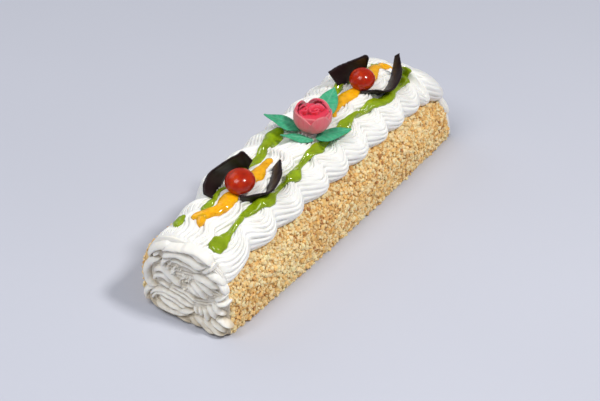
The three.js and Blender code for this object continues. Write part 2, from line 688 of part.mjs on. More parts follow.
const cream = new THREE.MeshStandardMaterial({ color: 0xf7f5ee, roughness: 0.45 });
const nuts = new THREE.MeshStandardMaterial({ color: 0xd9ad6c, roughness: 0.8 });
const cherryRed = new THREE.MeshStandardMaterial({ color: 0xc01f12, roughness: 0.15 });
const rosePink = new THREE.MeshStandardMaterial({ color: 0xe0304a, roughness: 0.55 });
const leafGreen = new THREE.MeshStandardMaterial({ color: 0x2f9a62, roughness: 0.6 });
const chocolate = new THREE.MeshStandardMaterial({ color: 0x241712, roughness: 0.35 });

const cake = new THREE.Group();

/** Adds a named piece to the cake. */
function addPiece(name, geometry, material) {
  const piece = new THREE.Mesh(geometry, material);
  piece.name = name;
  cake.add(piece);
}

addPiece('roll', largestBody(roll), nuts);
addPiece('cream_top', largestBody(topCream), cream);
addPiece('cream_front', largestBody(nearCap), cream);
addPiece('cream_back', largestBody(farCap), cream);
const finishes = { cherry: cherryRed, rose: rosePink, leaf: leafGreen, chocolate };
for (const [name, makeTopping] of Object.entries(toppings)) {
  addPiece(name, largestBody(solid(makeTopping(0))), finishes[name.split('_')[0]]);
}

// the origin is at the middle of the base, under the middle of the whole
const bounds = new THREE.Box3().setFromObject(cake);
const middle = bounds.getCenter(vec(0, 0, 0));
cake.position.set(-middle.x, -middle.y, -bounds.min.z);

export default cake;
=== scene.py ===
"""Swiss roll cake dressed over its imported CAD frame.

Everything is worked out in millimetres in the cake's own axes: X runs along the roll, -X is the
fully piped end, Z is up. Places on the roll are (x, turn, off): turn is the angle in degrees round
the roll from straight up, negative towards -Y, and off is the height above the nut-coated roll.
"""

import math

import bpy
import numpy as np
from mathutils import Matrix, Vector
from mathutils.bvhtree import BVHTree


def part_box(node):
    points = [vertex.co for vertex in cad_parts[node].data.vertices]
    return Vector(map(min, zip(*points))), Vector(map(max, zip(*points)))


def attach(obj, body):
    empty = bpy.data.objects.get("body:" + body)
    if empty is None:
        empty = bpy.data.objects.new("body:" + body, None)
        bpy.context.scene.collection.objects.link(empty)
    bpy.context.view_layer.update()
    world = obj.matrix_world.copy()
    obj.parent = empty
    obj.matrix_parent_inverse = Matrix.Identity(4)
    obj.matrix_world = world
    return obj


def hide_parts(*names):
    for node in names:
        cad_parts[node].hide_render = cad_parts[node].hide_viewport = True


bl_info = {
    "name": "Swiss roll cake",
    "version": (1, 0, 0),
    "blender": (4, 5, 0),
    "location": "3D View > Sidebar > Cake",
    "description": "Nut coat, piped cream, fruit gel and toppings of a swiss roll cake",
    "category": "Object",
}

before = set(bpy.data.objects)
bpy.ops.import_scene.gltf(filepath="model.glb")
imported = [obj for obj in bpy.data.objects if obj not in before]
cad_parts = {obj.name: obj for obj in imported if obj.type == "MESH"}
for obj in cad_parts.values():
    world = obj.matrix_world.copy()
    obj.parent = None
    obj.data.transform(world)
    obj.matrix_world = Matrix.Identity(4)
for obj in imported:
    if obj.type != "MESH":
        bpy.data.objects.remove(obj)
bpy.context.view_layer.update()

# ---- Fixed form of the cake, the same as the frame's, in millimetres and degrees -------------

NEAR_X, FAR_X = -147.0, 145.0
NEAR_CREAM, NEAR_SPREAD = 9.0, 7.0
FAR_LEAN, FAR_DROP, FAR_SETTLED = 21.0, 0.08, 50.0
# how far the cream on top laps over the far end
FAR_DOME = 9.0
GAP, FLOOR_GAP = 0.3, 0.02
ROLL_HEIGHT, WIDEST_Z = 64.0, 20.0
MID_HALF_WIDTH, NEAR_HALF_WIDTH, FAR_HALF_WIDTH = 43.0, 38.5, 41.0
SECTION_POWER = 2.2
BASE_TUCK = 0.05
COATED_FROM = 39.0
# how far a grain strays from its place, as a share of the spacing
GRAIN_STRAY = 0.55
# how far the middle of the nut coat lies under the frame's
COAT_SUNK = 0.9
VALLEY_CREAM = 7.5
NEAR_THINNING, NEAR_THINNED = 0.42, 45.0
LOBES_X = (149, 121, 94, 72, 49, 20, -6, -31, -65, -98, -127, -158)
# share of the way from one lobe to the next where the ribbon's edge draws in most
NOTCH_AT = 0.68
RIGHT_EDGE, RIGHT_VALLEY, LEFT_VALLEY, LEFT_EDGE = -51.0, -22.0, 11.0, 49.0

# the ribbons: height of the crest, depth of the bed under them, half width of the nozzle
RIBBON_HEIGHT, BED_DEPTH, NOZZLE_HALF = 12.0, 6.4, 6.4
# how finely they are made: step between their rows, and points across
RIBBON_STEP, RIBBON_POINTS = 0.95, 140
# lengths over which they close at the near end and the far one
NEAR_CLOSING, FAR_CLOSING = 5.0, 11.0
# stretches of x where they grow plump and domed, and where their edges shift, towards the far end
PLUMP, DOMED, FAR_SWEEP, FAR_SPILL = (84, 112), (118, 138), (126, 146), (110, 134)
# the same for their edges towards the near end, as distances from the middle
RIGHT_SWEEP, LEFT_SWEEP, NEAR_SPILL = (122, 145), (72, 110), (98, 124)

CHERRIES = {
    "cherry_front": ((-88.5, -5.0, 83.0), (1.13, 1.06, 0.86)),
    "cherry_back": ((69.0, -5.0, 82.4), (0.98, 0.98, 0.87)),
}
ROSE_AT = (0.5, -6.0, 88.3)

# base and tip of the midrib, half width, height of the arch, twist in degrees
LEAVES = {
    "leaf_left": ((-4.0, 0.5, 76.6), (-13.0, 27.5, 84.5), 10.4, 1.2, 14.0),
    "leaf_front": ((-9.5, -13.5, 75.2), (-21.0, 7.5, 78.5), 4.8, 1.0, 4.0),
    "leaf_right": ((-6.5, -14.0, 75.0), (17.5, -28.5, 75.6), 8.3, 1.6, -6.0),
    "leaf_back": ((14.5, -4.0, 78.0), (43.5, 3.0, 86.0), 8.0, 1.4, 6.0),
}

# stations along each shard: foot x, y, z, then rim x, y, z
CHOCOLATE = {
    "chocolate_plate_front": (
        (-102, 8.5, 71, -106.5, 13.5, 75.5),
        (-95, 10.5, 71, -104.5, 15.5, 79.5),
        (-88, 12, 71, -101, 16.5, 82.5),
        (-80, 15.5, 71, -94.5, 17.5, 84.5),
        (-72.5, 17, 71.5, -87.5, 15.5, 86.5),
        (-67.5, 15, 71.5, -77, 12.5, 88.5),
        (-64.5, 11, 71.5, -70.5, 9.5, 90),
        (-62.5, 7, 72.5, -67, 8, 91),
        (-64.5, 5, 76, -64, 1.5, 84),
    ),
    "chocolate_crescent_front": (
        (-97, -10.5, 75.5, -98, -11.5, 79),
        (-92.5, -12, 70, -94.5, -15.5, 78.5),
        (-88.5, -14, 67.5, -90.5, -18.5, 78.5),
        (-83.5, -16, 67.5, -87, -23.5, 79.5),
        (-78.5, -16.5, 67.5, -82, -27.5, 80),
        (-75, -16.5, 68.5, -72, -26, 81),
        (-68.5, -14, 69.5, -64, -23.5, 82.5),
        (-61, -11.5, 70.5, -59.5, -20, 84.5),
        (-52, -6.5, 72, -55.5, -16.5, 87),
    ),
    "chocolate_plate_back": (
        (64, 12, 71.5, 55, 16.5, 89),
        (70.5, 10.5, 71.5, 65, 14, 90),
        (80.5, 11, 71.5, 73, 10.5, 90.5),
        (87.5, 10.5, 72.5, 81, 6.5, 91),
        (92, 7, 75, 89, 4.5, 90.5),
        (92.5, 6, 77, 90, 2.5, 87),
    ),
    "chocolate_crescent_back": (
        (60, -9, 76.5, 59.8, -10.3, 79),
        (65.5, -9.5, 72, 64, -14, 78.5),
        (71.5, -11, 69.5, 68.5, -18, 78),
        (75.5, -14, 68.5, 70.5, -25, 78.5),
        (80, -16, 69, 75.5, -29, 79.5),
        (86.5, -15, 69.5, 86.5, -27.5, 81),
        (92.5, -14, 70.5, 94, -24.5, 83),
        (99, -12, 71.5, 97.5, -21.5, 86),
        (101.5, -12.5, 80, 98.5, -19.5, 90),
        (101, -14, 90, 100, -18, 94),
    ),
}

# step between the rings of a bead of gel, points across it, and bubbles for each point of its top
BEAD_STEP, BEAD_POINTS, BUBBLES = 0.8, 15, 0.16
# beads of gel: x, turn, half width
YELLOW_GEL = (
    ((-129, 6.5, 3.2), (-125, 3, 4.6), (-118, -2.5, 4.2), (-111, -6, 3.8), (-103, -5, 5.0), (-91, -4, 3.4)),
    ((-133, -2.5, 2.0), (-128.5, 0, 2.8), (-122, 1.5, 3.2)),
    ((-77, -3, 3.6), (-68, -4.5, 5.0), (-57, -2.5, 2.6), (-45, -1, 2.6)),
    ((24, -8, 2.2), (34, -4, 2.6), (46, -2, 4.2), (57, -3, 4.6), (64, -4, 3.0)),
    ((76, -4, 3.4), (86, -2, 4.6), (99, 2.5, 3.6), (108, 0.5, 4.2), (118, -1.5, 4.8), (128, -2, 4.6)),
)
GREEN_GEL = (
    (
        (-143, -25, 4.0), (-136.5, -24.5, 5.4), (-129, -24, 4), (-122, -23.5, 2), (-112, -22.5, 1.8),
        (-104, -21, 1.8), (-92, -22, 3.6), (-82, -25, 4.6), (-72, -24, 2), (-58, -22.5, 1.8),
        (-48, -24.5, 4.2), (-37, -21, 1.8), (-24, -19, 2.2), (-11, -20, 3.8), (2, -19, 2),
        (14, -20, 2.4), (24, -20, 4.2), (35, -18.5, 1.8), (47, -19.5, 1.8), (60, -22, 3.8),
        (74, -25, 4), (86, -25, 1.8), (98, -23.5, 2.8), (106, -22, 4.4), (117, -19.5, 2.6),
        (127, -18, 2.6), (137, -16.5, 3.4),
    ),
    (
        (-120, 5, 1.8), (-110, 5.3, 2.8), (-98, 8, 1.6),
        (-84, 9, 1.8), (-58, 9.5, 2.2), (-46, 11, 2.8), (-33, 13.5, 2.4), (-19, 17, 4.6), (-8, 16, 2.6),
    ),
    ((-138, 17.5, 3), (-132, 19.5, 4.2), (-125.5, 18.5, 2.6)),
    (
        (30, 14, 2), (48, 12, 1.8), (68, 14, 2.2), (88, 11, 2.2), (100, 10, 2.6),
        (112, 8.5, 3.4), (120, 8, 2.4),
    ),
)

# the nozzle's way over the near end face and over the far one: y, z, from the foot up
NEAR_WAY = (
    (-31, 11), (-22, 6.5), (2, 5.5), (21, 6.5), (25, 12), (18, 17.5), (-2, 17), (-20, 21),
    (-30, 27), (-30, 33.5), (-22, 32.5), (0, 27.5), (15, 25), (22, 31), (18, 38.5), (2, 39),
    (-16, 42.5), (-27, 43.5), (-27, 49.5), (-18, 50.5), (-4, 48), (7, 47), (11, 51.5), (5, 56),
    (-8, 58.5), (-18, 59.5), (-20, 56),
)
FAR_WAY = (
    (-30, 9), (0, 9), (29, 12), (27, 24), (0, 25), (-29, 26),
    (-28, 39), (0, 40), (25, 41), (20, 50), (0, 52),
)
# ridges that stand out of the near one: half width, height, then y, z along the crest
NEAR_RIDGES = (
    (2.4, 4.4, ((29, 5.5), (21.5, 4.5), (13.5, 4.5), (5, 5), (-3.5, 6.5))),
    (1.1, 5.6, ((13, 23), (7, 23.5), (0, 22.5), (-6, 20.5), (-11, 18.5))),
    (1.1, 5.4, ((11, 26.5), (5, 26.5), (-2, 25.5), (-7.5, 23.5), (-12, 21))),
    (2.8, 6.8, ((23, 19), (28.5, 17), (31.5, 12.5), (31, 9), (28, 6.5))),
    (
        1.6, 6.4,
        ((28, 10.5), (26.5, 14), (22, 18), (15.5, 19.5), (9, 19.5), (2, 18), (-5, 16.5), (-9.5, 15.5)),
    ),
    (1.5, 6.6, ((25, 8.5), (25, 12), (21, 16), (16, 17), (9.5, 16), (2.5, 14.5), (-4, 13))),
    (1.9, 7.4, ((20, 11.5), (18.5, 13.5), (14.5, 13), (8.5, 11.5), (1.5, 10.5), (-5, 11.5), (-10.5, 12.5))),
    (1.9, 7.2, ((23, 9), (19.5, 8), (14, 7), (7, 7), (0.5, 8), (-6.5, 9))),
    (1.7, 6.2, ((21.5, 24.5), (17, 26), (13.5, 25), (10.5, 23))),
    (2.0, 7.0, ((23.5, 25), (24, 28), (20.5, 32), (16, 33.5), (12, 31.5), (9, 28))),
    (2.2, 7.4, ((23.5, 33), (22, 36.5), (17.5, 39), (13, 37.5), (9.5, 35), (6.5, 31.5))),
    (3.0, 7.2, ((18, 46), (24.5, 43), (29, 37), (31, 31), (30.5, 25.5), (27.5, 21), (22, 19.5))),
    (1.9, 6.8, ((-3, 33), (-8, 32), (-12.5, 30), (-15.5, 27))),
    (2.2, 7.6, ((-6, 37), (-11, 36), (-15.5, 34), (-19, 30.5), (-21.5, 27.5))),
    (2.2, 7.4, ((-9.5, 41.5), (-14.5, 41), (-19.5, 39), (-23.5, 36), (-26.5, 32.5))),
    (3.6, 6.6, ((-28, 46.5), (-33, 44.5), (-36, 41.5), (-34.5, 36.5))),
    (3.8, 7.0, ((-19, 47.5), (-24, 50), (-29, 50), (-33, 48), (-36, 45))),
    (2.5, 7.8, ((-8.5, 45), (-14.5, 45), (-20.5, 45), (-26.5, 43), (-31.5, 42))),
    (1.7, 6.0, ((11, 47.5), (4.5, 50.5), (-1.5, 50.5), (-7, 50.5), (-12, 49.5), (-17.5, 49.5))),
    (2.2, 7.0, ((-16.5, 50.5), (-20.5, 52.5), (-25, 56.5), (-27.5, 61))),
    (
        2.0, 7.6,
        ((8, 51), (13, 48.5), (15.5, 44.5), (14.5, 41), (11.5, 38), (8, 35.5), (4.5, 32.5), (0.5, 29.5)),
    ),
    (
        2.5, 8.4,
        ((16, 48.5), (12.5, 53), (6, 56.5), (0, 58), (-6, 57.5), (-11.5, 56), (-16.5, 55), (-21.5, 55.5)),
    ),
    (2.8, 7.4, ((-6, 63.5), (-12, 63.5), (-17, 62), (-21, 60), (-23.5, 58))),
    (2.6, 7.0, ((6, 62), (13, 60), (20, 56), (25.5, 50.5), (28.5, 44))),
    (2.2, 6.4, ((17, 53.5), (22, 49.5), (25, 45))),
    (
        2.3, 8.0,
        ((16.5, 54.5), (11, 59.5), (2.5, 62.5), (-6, 65), (-14, 66), (-19.5, 65), (-23.5, 62), (-26, 58.5)),
    ),
    (1.7, 6.6, ((-8.5, 17.5), (-12, 14.5), (-14, 11.5))),
    (1.8, 7.0, ((-12.5, 18.5), (-15.5, 16.5), (-17.5, 12))),
    (1.9, 7.4, ((-16, 19.5), (-19.5, 17), (-22, 12.5), (-22.5, 9.5))),
    (2.1, 7.8, ((-20, 23), (-24, 20.5), (-27.5, 17.5), (-29.5, 14))),
    (2.2, 8.0, ((-24, 26), (-29, 24.5), (-33, 22.5), (-35.5, 20))),
    (2.0, 7.8, ((-27.5, 29), (-32.5, 30.5), (-37, 31.5), (-40, 34.5))),
    (1.9, 6.8, ((-26.5, 31), (-32, 33.5), (-37.5, 38.5))),
    (1.8, 5.0, ((6.5, 3.5), (-0.5, 4), (-5, 2.5), (-8, 1))),
    (2.0, 5.6, ((-5, 6.5), (-9.5, 6.5), (-13.5, 4.5), (-18, 2.5))),
    (2.2, 6.2, ((-9, 9.5), (-15, 8.5), (-20.5, 6), (-25, 4), (-30.5, 3.5))),
    (2.1, 6.6, ((-16.5, 10.5), (-22.5, 9), (-28, 6.5), (-33.5, 5), (-37, 4.5))),
    (2.1, 7.0, ((-23, 12), (-28.5, 11), (-33, 9.5), (-38, 7.5))),
    (2.0, 6.8, ((-27, 14.5), (-32.5, 15), (-37, 13.5), (-41.5, 12))),
)
# how far out of the end these ridges start, their sag as a share of their height, and the step
# between their rings
RIDGE_FOOT, RIDGE_SAG, RIDGE_STEP = 1.2, 0.24, 0.65
# middle y, z, half length and half width of the patch where the cream broke, and its crumbs
CRUMBS, CRUMB_COUNT = (1.5, 39.5, 12.0, 6.0), 34

# petals of the rose: azimuth, half spread and rim angle from straight up, size, outward curl
PETALS = (
    (240, 46, 63, 1.05, 0.02), (160, 74, 63, 1.02, 0.02), (94, 56, 53, 1.0, 0.02),
    (8, 56, 53.5, 1.0, 0.02), (300, 58, 71, 1.01, 0.02), (205, 66, 66, 0.94, 0.02),
    (52, 60, 77, 0.96, 0.02), (275, 58, 66, 0.96, 0.02), (130, 60, 60, 0.955, 0.03),
    (352, 52, 60, 0.93, 0.02), (190, 60, 68, 0.92, 0.02), (104, 50, 60, 0.92, 0.02),
    (82, 44, 59, 0.79, 0.02), (2, 42, 60, 0.77, 0.02), (160, 46, 64, 0.78, 0.02), (280, 50, 67, 0.76, 0.02),
)
# the core that they close round: distance from the middle and height, as shares of the radius
BUD = (
    (0.04, -0.7), (0.7, -0.6), (0.9, 0.0), (0.88, 0.16), (0.8, 0.22), (0.66, 0.2), (0.36, 0.17), (0.04, 0.17),
)
# rolled petals on the core: middle x, y and outer radius, turn where they start
SWIRLS = ((1.2, -1.6, 6.6, 320), (-4.6, 3.4, 3.0, 150))

SEED = 20417


# ---- Sizes and colours that a user would change -----------------------------------------------


def length(name, description, default):
    """A length in metres."""
    return bpy.props.FloatProperty(
        name=name, description=description, default=default, min=0.0, precision=5, unit="LENGTH"
    )


def share(name, description, default):
    """A share between none and all."""
    return bpy.props.FloatProperty(
        name=name, description=description, default=default, min=0.0, max=1.0, subtype="FACTOR"
    )


def colour(name, description, default):
    """A surface colour."""
    return bpy.props.FloatVectorProperty(
        name=name, description=description, default=default, min=0.0, max=1.0, size=3, subtype="COLOR"
    )


class CakeSizes(bpy.types.PropertyGroup):
    """Sizes of the cake's finer forms."""

    nut_size: length("Nut size", "Length of a typical nut chip", 0.0029)
    nut_spacing: length("Nut spacing", "Distance between neighbouring nut chips", 0.0021)
    end_rope_half: length("End rope half width", "Half width of the rope on the end faces", 0.0077)
    rib_pitch: length("Rib pitch", "Distance between the nozzle's ribs on top", 0.0032)
    end_rib_pitch: length("End rib pitch", "Distance between the ribs on the near end", 0.0035)
    rib_depth: share("Rib depth", "Depth of the grooves between ribs, as a share", 0.2)
    end_rib_depth: share("End rib depth", "Depth of the grooves on the near end", 0.44)
    gel_height: length("Gel height", "Height of the gel above the cream", 0.0019)
    cherry_radius: length("Cherry radius", "Radius of a cherry", 0.010)
    rose_radius: length("Rose radius", "Radius of the rose", 0.014)
    petal_thickness: length("Petal thickness", "Thickness of a sugar petal", 0.0008)
    leaf_thickness: length("Leaf thickness", "Thickness of a leaf", 0.0008)
    chocolate_thickness: length("Chocolate thickness", "Thickness of a shard", 0.0016)


class CakeColours(bpy.types.PropertyGroup):
    """Colours of the cake's surfaces."""

    cream: colour("Cream", "Whipped cream", (0.90, 0.89, 0.85))
    # painted shade: a darker grey cream that the top ribbons take in the grooves between their ribs
    painted_groove_shade: colour("Groove cream", "Top cream in the grooves between its ribs", (0.72, 0.71, 0.68))
    # a warmer copy of the cream: painted warm bounce light on the end faces
    end_cream: colour("End cream", "Cream on the end faces", (0.93, 0.90, 0.83))
    # painted shade on the near end's grooves and foot, partly standing for crust showing through thin cream
    thin_cream_shade: colour("Thin cream", "Near end's cream where the crust shows through", (0.64, 0.55, 0.41))
    nut_pale: colour("Pale nut", "Flesh of the palest nut chips", (0.96, 0.76, 0.42))
    nut_golden: colour("Golden nut", "Most nut chips", (0.91, 0.575, 0.195))
    nut_toasted: colour("Toasted nut", "Darkest roast nut chips", (0.46, 0.19, 0.05))
    gel_green: colour("Green gel", "Green fruit gel", (0.27, 0.38, 0.006))
    gel_yellow: colour("Yellow gel", "Yellow fruit gel", (0.95, 0.46, 0.006))
    cherry: colour("Cherry", "Glace cherry", (0.42, 0.018, 0.001))
    petal: colour("Petal", "Inner petals of the rose", (0.874, 0.0345, 0.09))
    petal_pale: colour("Pale petal", "Outside of the outer petals", (0.864, 0.196, 0.201))
    leaf: colour("Leaf", "Leaves round the rose", (0.042, 0.37, 0.185))
    chocolate: colour("Chocolate", "Dark chocolate", (0.015, 0.007, 0.008))
    floor: colour("Floor", "Floor under the cake", (0.57, 0.585, 0.66))


# ---- Form of the roll, the same as the frame's ----------------------------------------------------


def lerp(a, b, t):
    """Value between a and b at share t."""
    return a + (b - a) * t


def ease(value, low, high):
    """Smooth step from 0 at low to 1 at high."""
    t = np.clip((np.asarray(value, float) - low) / (high - low), 0, 1)
    return t * t * (3 - 2 * t)


def rounded(share_in, least=0.001):
    """Height of a quarter round at a share of its width, kept a little above nothing."""
    return np.sqrt(np.clip(1 - (1 - np.clip(share_in, 0, 1)) ** 2, least, 1))


def half_width(x):
    """Half width of the roll at x: fuller in the middle."""
    end = np.where(x < 0, NEAR_HALF_WIDTH, FAR_HALF_WIDTH)
    return lerp(MID_HALF_WIDTH, end, (x / FAR_X) ** 2)


def foot_share(z):
    """Share of the way down from the widest place to the base."""
    return np.clip(1 - z / WIDEST_Z, 0, 1)


def settle(x, y, z):
    """Points of the straight cake once settled: the far end leans back, the near foot spreads."""
    x, y, z = np.broadcast_arrays(x, y, z)
    far = ease(x, FAR_X - FAR_SETTLED, FAR_X)
    near = ease(-x, -NEAR_X, NEAR_CREAM / 2 - NEAR_X)
    lean = FAR_LEAN * far * z / ROLL_HEIGHT
    return np.stack([x - lean - NEAR_SPREAD * near * foot_share(z) ** 2, y, z * (1 - FAR_DROP * far)], -1)


def section_radius(x, turn):
    """Distance from the section's middle to the roll's surface at that turn."""
    angle = np.radians(turn)
    a, b, p = half_width(x), ROLL_HEIGHT - WIDEST_Z, SECTION_POWER
    return (np.abs(np.sin(angle) / a) ** p + np.abs(np.cos(angle) / b) ** p) ** (-1 / p)


def on_roll(x, turn, off):
    """Points off above the roll at (x, turn)."""
    angle = np.radians(turn)
    r = section_radius(x, turn) + off
    return settle(x, r * np.sin(angle), WIDEST_Z + r * np.cos(angle))


def on_flank(x, side, down, off):
    """Points off outside the side of the roll, down below its widest place."""
    y = half_width(x) * (1 - BASE_TUCK * (down / WIDEST_Z) ** 2) + off
    return settle(x, side * y, WIDEST_Z - down)


def lobe_phase(x):
    """Where x lies between two lobes: 0 at the far one, rising to 1 at the near one."""
    lobes = np.array(LOBES_X, float)
    k = np.clip(np.searchsorted(-lobes, -np.asarray(x, float)), 1, len(lobes) - 1)
    return np.clip((lobes[k - 1] - x) / (lobes[k - 1] - lobes[k]), 0, 1)


def edge_draw(x):
    """Share by which the ribbon's outer edge draws in at x: 0 at a lobe, 1 at a notch."""
    t = lobe_phase(x)
    u = np.clip((t - NOTCH_AT) / (1 - NOTCH_AT), 0, 1)
    return np.where(t < NOTCH_AT, (t / NOTCH_AT) ** 1.4, 1 - np.sqrt(1 - (1 - u) ** 2))


def thinning(x):
    """Share of its thickness that the cream keeps towards the near end."""
    return lerp(NEAR_THINNING, 1, ease(x, NEAR_X, NEAR_X + NEAR_THINNED))


def frame_shift():
    """How far the frame's axes are moved from the cake's own, in millimetres."""
    middle = np.mean(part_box("cherry_front"), 0) * 1000
    return middle - np.array(CHERRIES["cherry_front"][0])


SHIFT = frame_shift()

# ---- Mesh helpers ----------------------------------------------------------------------------------


def normalised(vectors):
    """Vectors of length one."""
    return vectors / np.maximum(np.linalg.norm(vectors, axis=-1, keepdims=True), 1e-9)


def run_along(points):
    """Distance of each point from the first, along the line of points."""
    return np.concatenate([[0], np.cumsum(np.linalg.norm(np.diff(points, axis=0), axis=1))])


def on_ball(r, down, turn):
    """Points at distance r: down is the angle from straight up, turn the angle round it."""
    flat = r * np.sin(down)
    return np.stack(np.broadcast_arrays(flat * np.cos(turn), flat * np.sin(turn), r * np.cos(down)), -1)


def on_ring(r, turn, z):
    """Points at distance r from an upright axis, at the angle turn and height z."""
    return np.stack(np.broadcast_arrays(r * np.cos(turn), r * np.sin(turn), z), -1)


def ball(rows, columns, margin):
    """Ball of radius one in rings from near its top to near its bottom."""
    down = np.linspace(margin, math.pi - margin, rows)[:, None]
    return on_ball(1, down, np.linspace(0, math.tau, columns, endpoint=False))


def waves(values, rng, count=4, low=0.05, high=0.4):
    """Smooth random waves about 0, reaching about 1, along the given distances."""
    total = np.zeros_like(values, float)
    for _ in range(count):
        total += np.sin(values * rng.uniform(low, high) * math.tau + rng.uniform(0, math.tau))
    return total / count


def grid_faces(rows, columns):
    """Quads between rings of points, wrapped round."""
    r = np.arange(rows - 1)[:, None]
    c = np.arange(columns)[None, :]
    nxt = (c + 1) % columns
    corners = (r * columns + c, r * columns + nxt, (r + 1) * columns + nxt, (r + 1) * columns + c)
    return np.stack(np.broadcast_arrays(*corners), -1).reshape(-1, 4)


def loft(rings):
    """Points and faces of a closed body through rings of equally many points."""
    count, size = rings.shape[:2]
    points = np.concatenate([rings.reshape(-1, 3), rings[:1].mean(1), rings[-1:].mean(1)])
    ring = np.arange(size)
    nxt = (ring + 1) % size
    first, last = count * size, count * size + 1
    base = (count - 1) * size
    fans = np.concatenate(
        [
            np.stack([nxt, ring, np.full(size, first)], -1),
            np.stack([ring + base, nxt + base, np.full(size, last)], -1),
        ]
    )
    return points, [grid_faces(count, size), fans]


def joined(parts):
    """One list of points and faces from several."""
    points, faces, start = [], [], 0
    for part_points, part_faces in parts:
        points.append(part_points)
        faces.extend(f + start for f in part_faces)
        start += len(part_points)
    return np.concatenate(points), faces


def make_piece(name, points, faces, finish, replaces=(), slot=None, smooth=True, values=None):
    """A piece of the cake from points in millimetres, riding on the frame."""
    mesh = bpy.data.meshes.new(name)
    corners = np.concatenate([f.ravel() for f in faces]).astype(np.int32)
    sizes = np.concatenate([np.full(len(f), f.shape[1]) for f in faces])
    starts = np.concatenate([[0], np.cumsum(sizes)[:-1]]).astype(np.int32)
    mesh.vertices.add(len(points))
    mesh.vertices.foreach_set("co", ((points + SHIFT) / 1000).astype(np.float32).ravel())
    mesh.loops.add(len(corners))
    mesh.loops.foreach_set("vertex_index", corners)
    mesh.polygons.add(len(sizes))
    mesh.polygons.foreach_set("loop_start", starts)
    mesh.polygons.foreach_set("use_smooth", np.full(len(sizes), smooth))
    mesh.update(calc_edges=True)
    mesh.validate()
    for key, data in (values or {}).items():
        attribute = mesh.attributes.new(key, "FLOAT", "POINT")
        attribute.data.foreach_set("value", np.asarray(data, np.float32))
    mesh.materials.append(finish)
    piece = bpy.data.objects.new(name, mesh)
    bpy.context.scene.collection.objects.link(piece)
    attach(piece, "root")
    if replaces:
        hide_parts(*replaces)
    return piece


def spline(stations, per_span):
    """Smooth curve through the stations, a row per sample."""
    p = np.array(stations, float)
    p = np.concatenate([2 * p[:1] - p[1:2], p, 2 * p[-1:] - p[-2:-1]])
    t = np.linspace(0, 1, per_span, endpoint=False)[:, None]
    spans = []
    for k in range(1, len(p) - 2):
        a, b, c, d = p[k - 1], p[k], p[k + 1], p[k + 2]
        spans.append(
            0.5 * (2 * b + (c - a) * t + (2 * a - 5 * b + 4 * c - d) * t**2 + (3 * b - a - 3 * c + d) * t**3)
        )
    return np.concatenate([*spans, p[-2:-1]])


def softened(values, width):
    """Values smoothed along their first axis."""
    kernel = np.hanning(width + 2)[1:-1]
    kernel /= kernel.sum()
    flat = np.asarray(values, float).reshape(len(values), -1)
    padded = np.pad(flat, ((width // 2, width // 2), (0, 0)), mode="edge")
    out = np.stack([np.convolve(column, kernel, mode="valid") for column in padded.T], -1)
    return out[: len(values)].reshape(np.shape(values))


# ---- Finishes ---------------------------------------------------------------------------------------

# sockets of a mix node that blends colours
MIX_SHARE, MIX_FROM, MIX_TO, MIX_RESULT = 0, 6, 7, 2


def scaled(tone, factor):
    """A colour made lighter or darker, by one factor or by one for each channel."""
    return np.minimum(1.0, np.array(tone) * factor)


class Finish:
    """A material with its shader, and short ways to add nodes to it."""

    def __init__(self, name, roughness, scatter=(), **shader):
        """scatter is the weight, the radius by colour and the scale of the light below the surface."""
        self.material = bpy.data.materials.new(name)
        self.material.use_nodes = True
        self.tree = self.material.node_tree
        self.shader = self.tree.nodes["Principled BSDF"]
        self.place = self.add("ShaderNodeTexCoord").outputs["Object"]
        inputs = {key.replace("_", " "): value for key, value in shader.items()}
        below = dict(zip(("Subsurface Weight", "Subsurface Radius", "Subsurface Scale"), scatter))
        self.set(self.shader, {"Roughness": roughness, **below, **inputs})

    def set(self, node, inputs):
        """Sets or links the node's inputs."""
        for key, value in inputs.items():
            if isinstance(value, bpy.types.NodeSocket):
                self.tree.links.new(value, node.inputs[key])
            else:
                node.inputs[key].default_value = value

    def add(self, kind, inputs=None, **settings):
        """A new node with its settings and inputs."""
        node = self.tree.nodes.new(kind)
        for key, value in settings.items():
            setattr(node, key, value)
        self.set(node, inputs or {})
        return node

    def noise(self, scale, detail=3.0, roughness=0.5, stretch=None):
        """Noise in 0..1 whose grains are 1000 / scale millimetres wide."""
        place = self.place
        if stretch:
            place = self.add("ShaderNodeMapping", {"Vector": place, "Scale": stretch}).outputs[0]
        inputs = {"Vector": place, "Scale": scale, "Detail": detail, "Roughness": roughness}
        return self.add("ShaderNodeTexNoise", inputs).outputs["Fac"]

    def attribute(self, name):
        """A value kept on the piece's points."""
        return self.add("ShaderNodeAttribute", attribute_name=name).outputs["Fac"]

    def total(self, a, b):
        """Sum of two values."""
        return self.add("ShaderNodeMath", {0: a, 1: b}, operation="ADD").outputs[0]

    def spread(self, factor, to_low, to_high, low=0.3, high=0.7):
        """The factor's range, by default that of noise, spread over to_low..to_high."""
        inputs = {"Value": factor, "From Min": low, "From Max": high, "To Min": to_low, "To Max": to_high}
        return self.add("ShaderNodeMapRange", inputs).outputs["Result"]

    def ramp(self, factor, *stops):
        """Colours (share, colour) blended along the factor."""
        node = self.add("ShaderNodeValToRGB", {"Fac": factor})
        elements = node.color_ramp.elements
        while len(elements) < len(stops):
            elements.new(0.5)
        for element, (place, tone) in zip(elements, stops):
            element.position = place
            element.color = (*tone, 1)
        return node.outputs["Color"]

    def shades(self, factor, tone, *stops):
        """One tone, scaled at each (share, scale) along the factor."""
        return self.ramp(factor, *((place, scaled(tone, scale)) for place, scale in stops))

    def blend(self, factor, a, b):
        """Colour a blended to colour b."""
        inputs = {MIX_SHARE: factor, MIX_FROM: a, MIX_TO: b}
        return self.add("ShaderNodeMix", inputs, data_type="RGBA").outputs[MIX_RESULT]

    def dressed(self, tones, height, strength, distance):
        """The material in these tones, with bumps over the given distance in metres."""
        inputs = {"Height": height, "Strength": strength, "Distance": distance}
        bumps = self.add("ShaderNodeBump", inputs).outputs["Normal"]
        self.set(self.shader, {"Base Color": tones, "Normal": bumps})
        return self.material


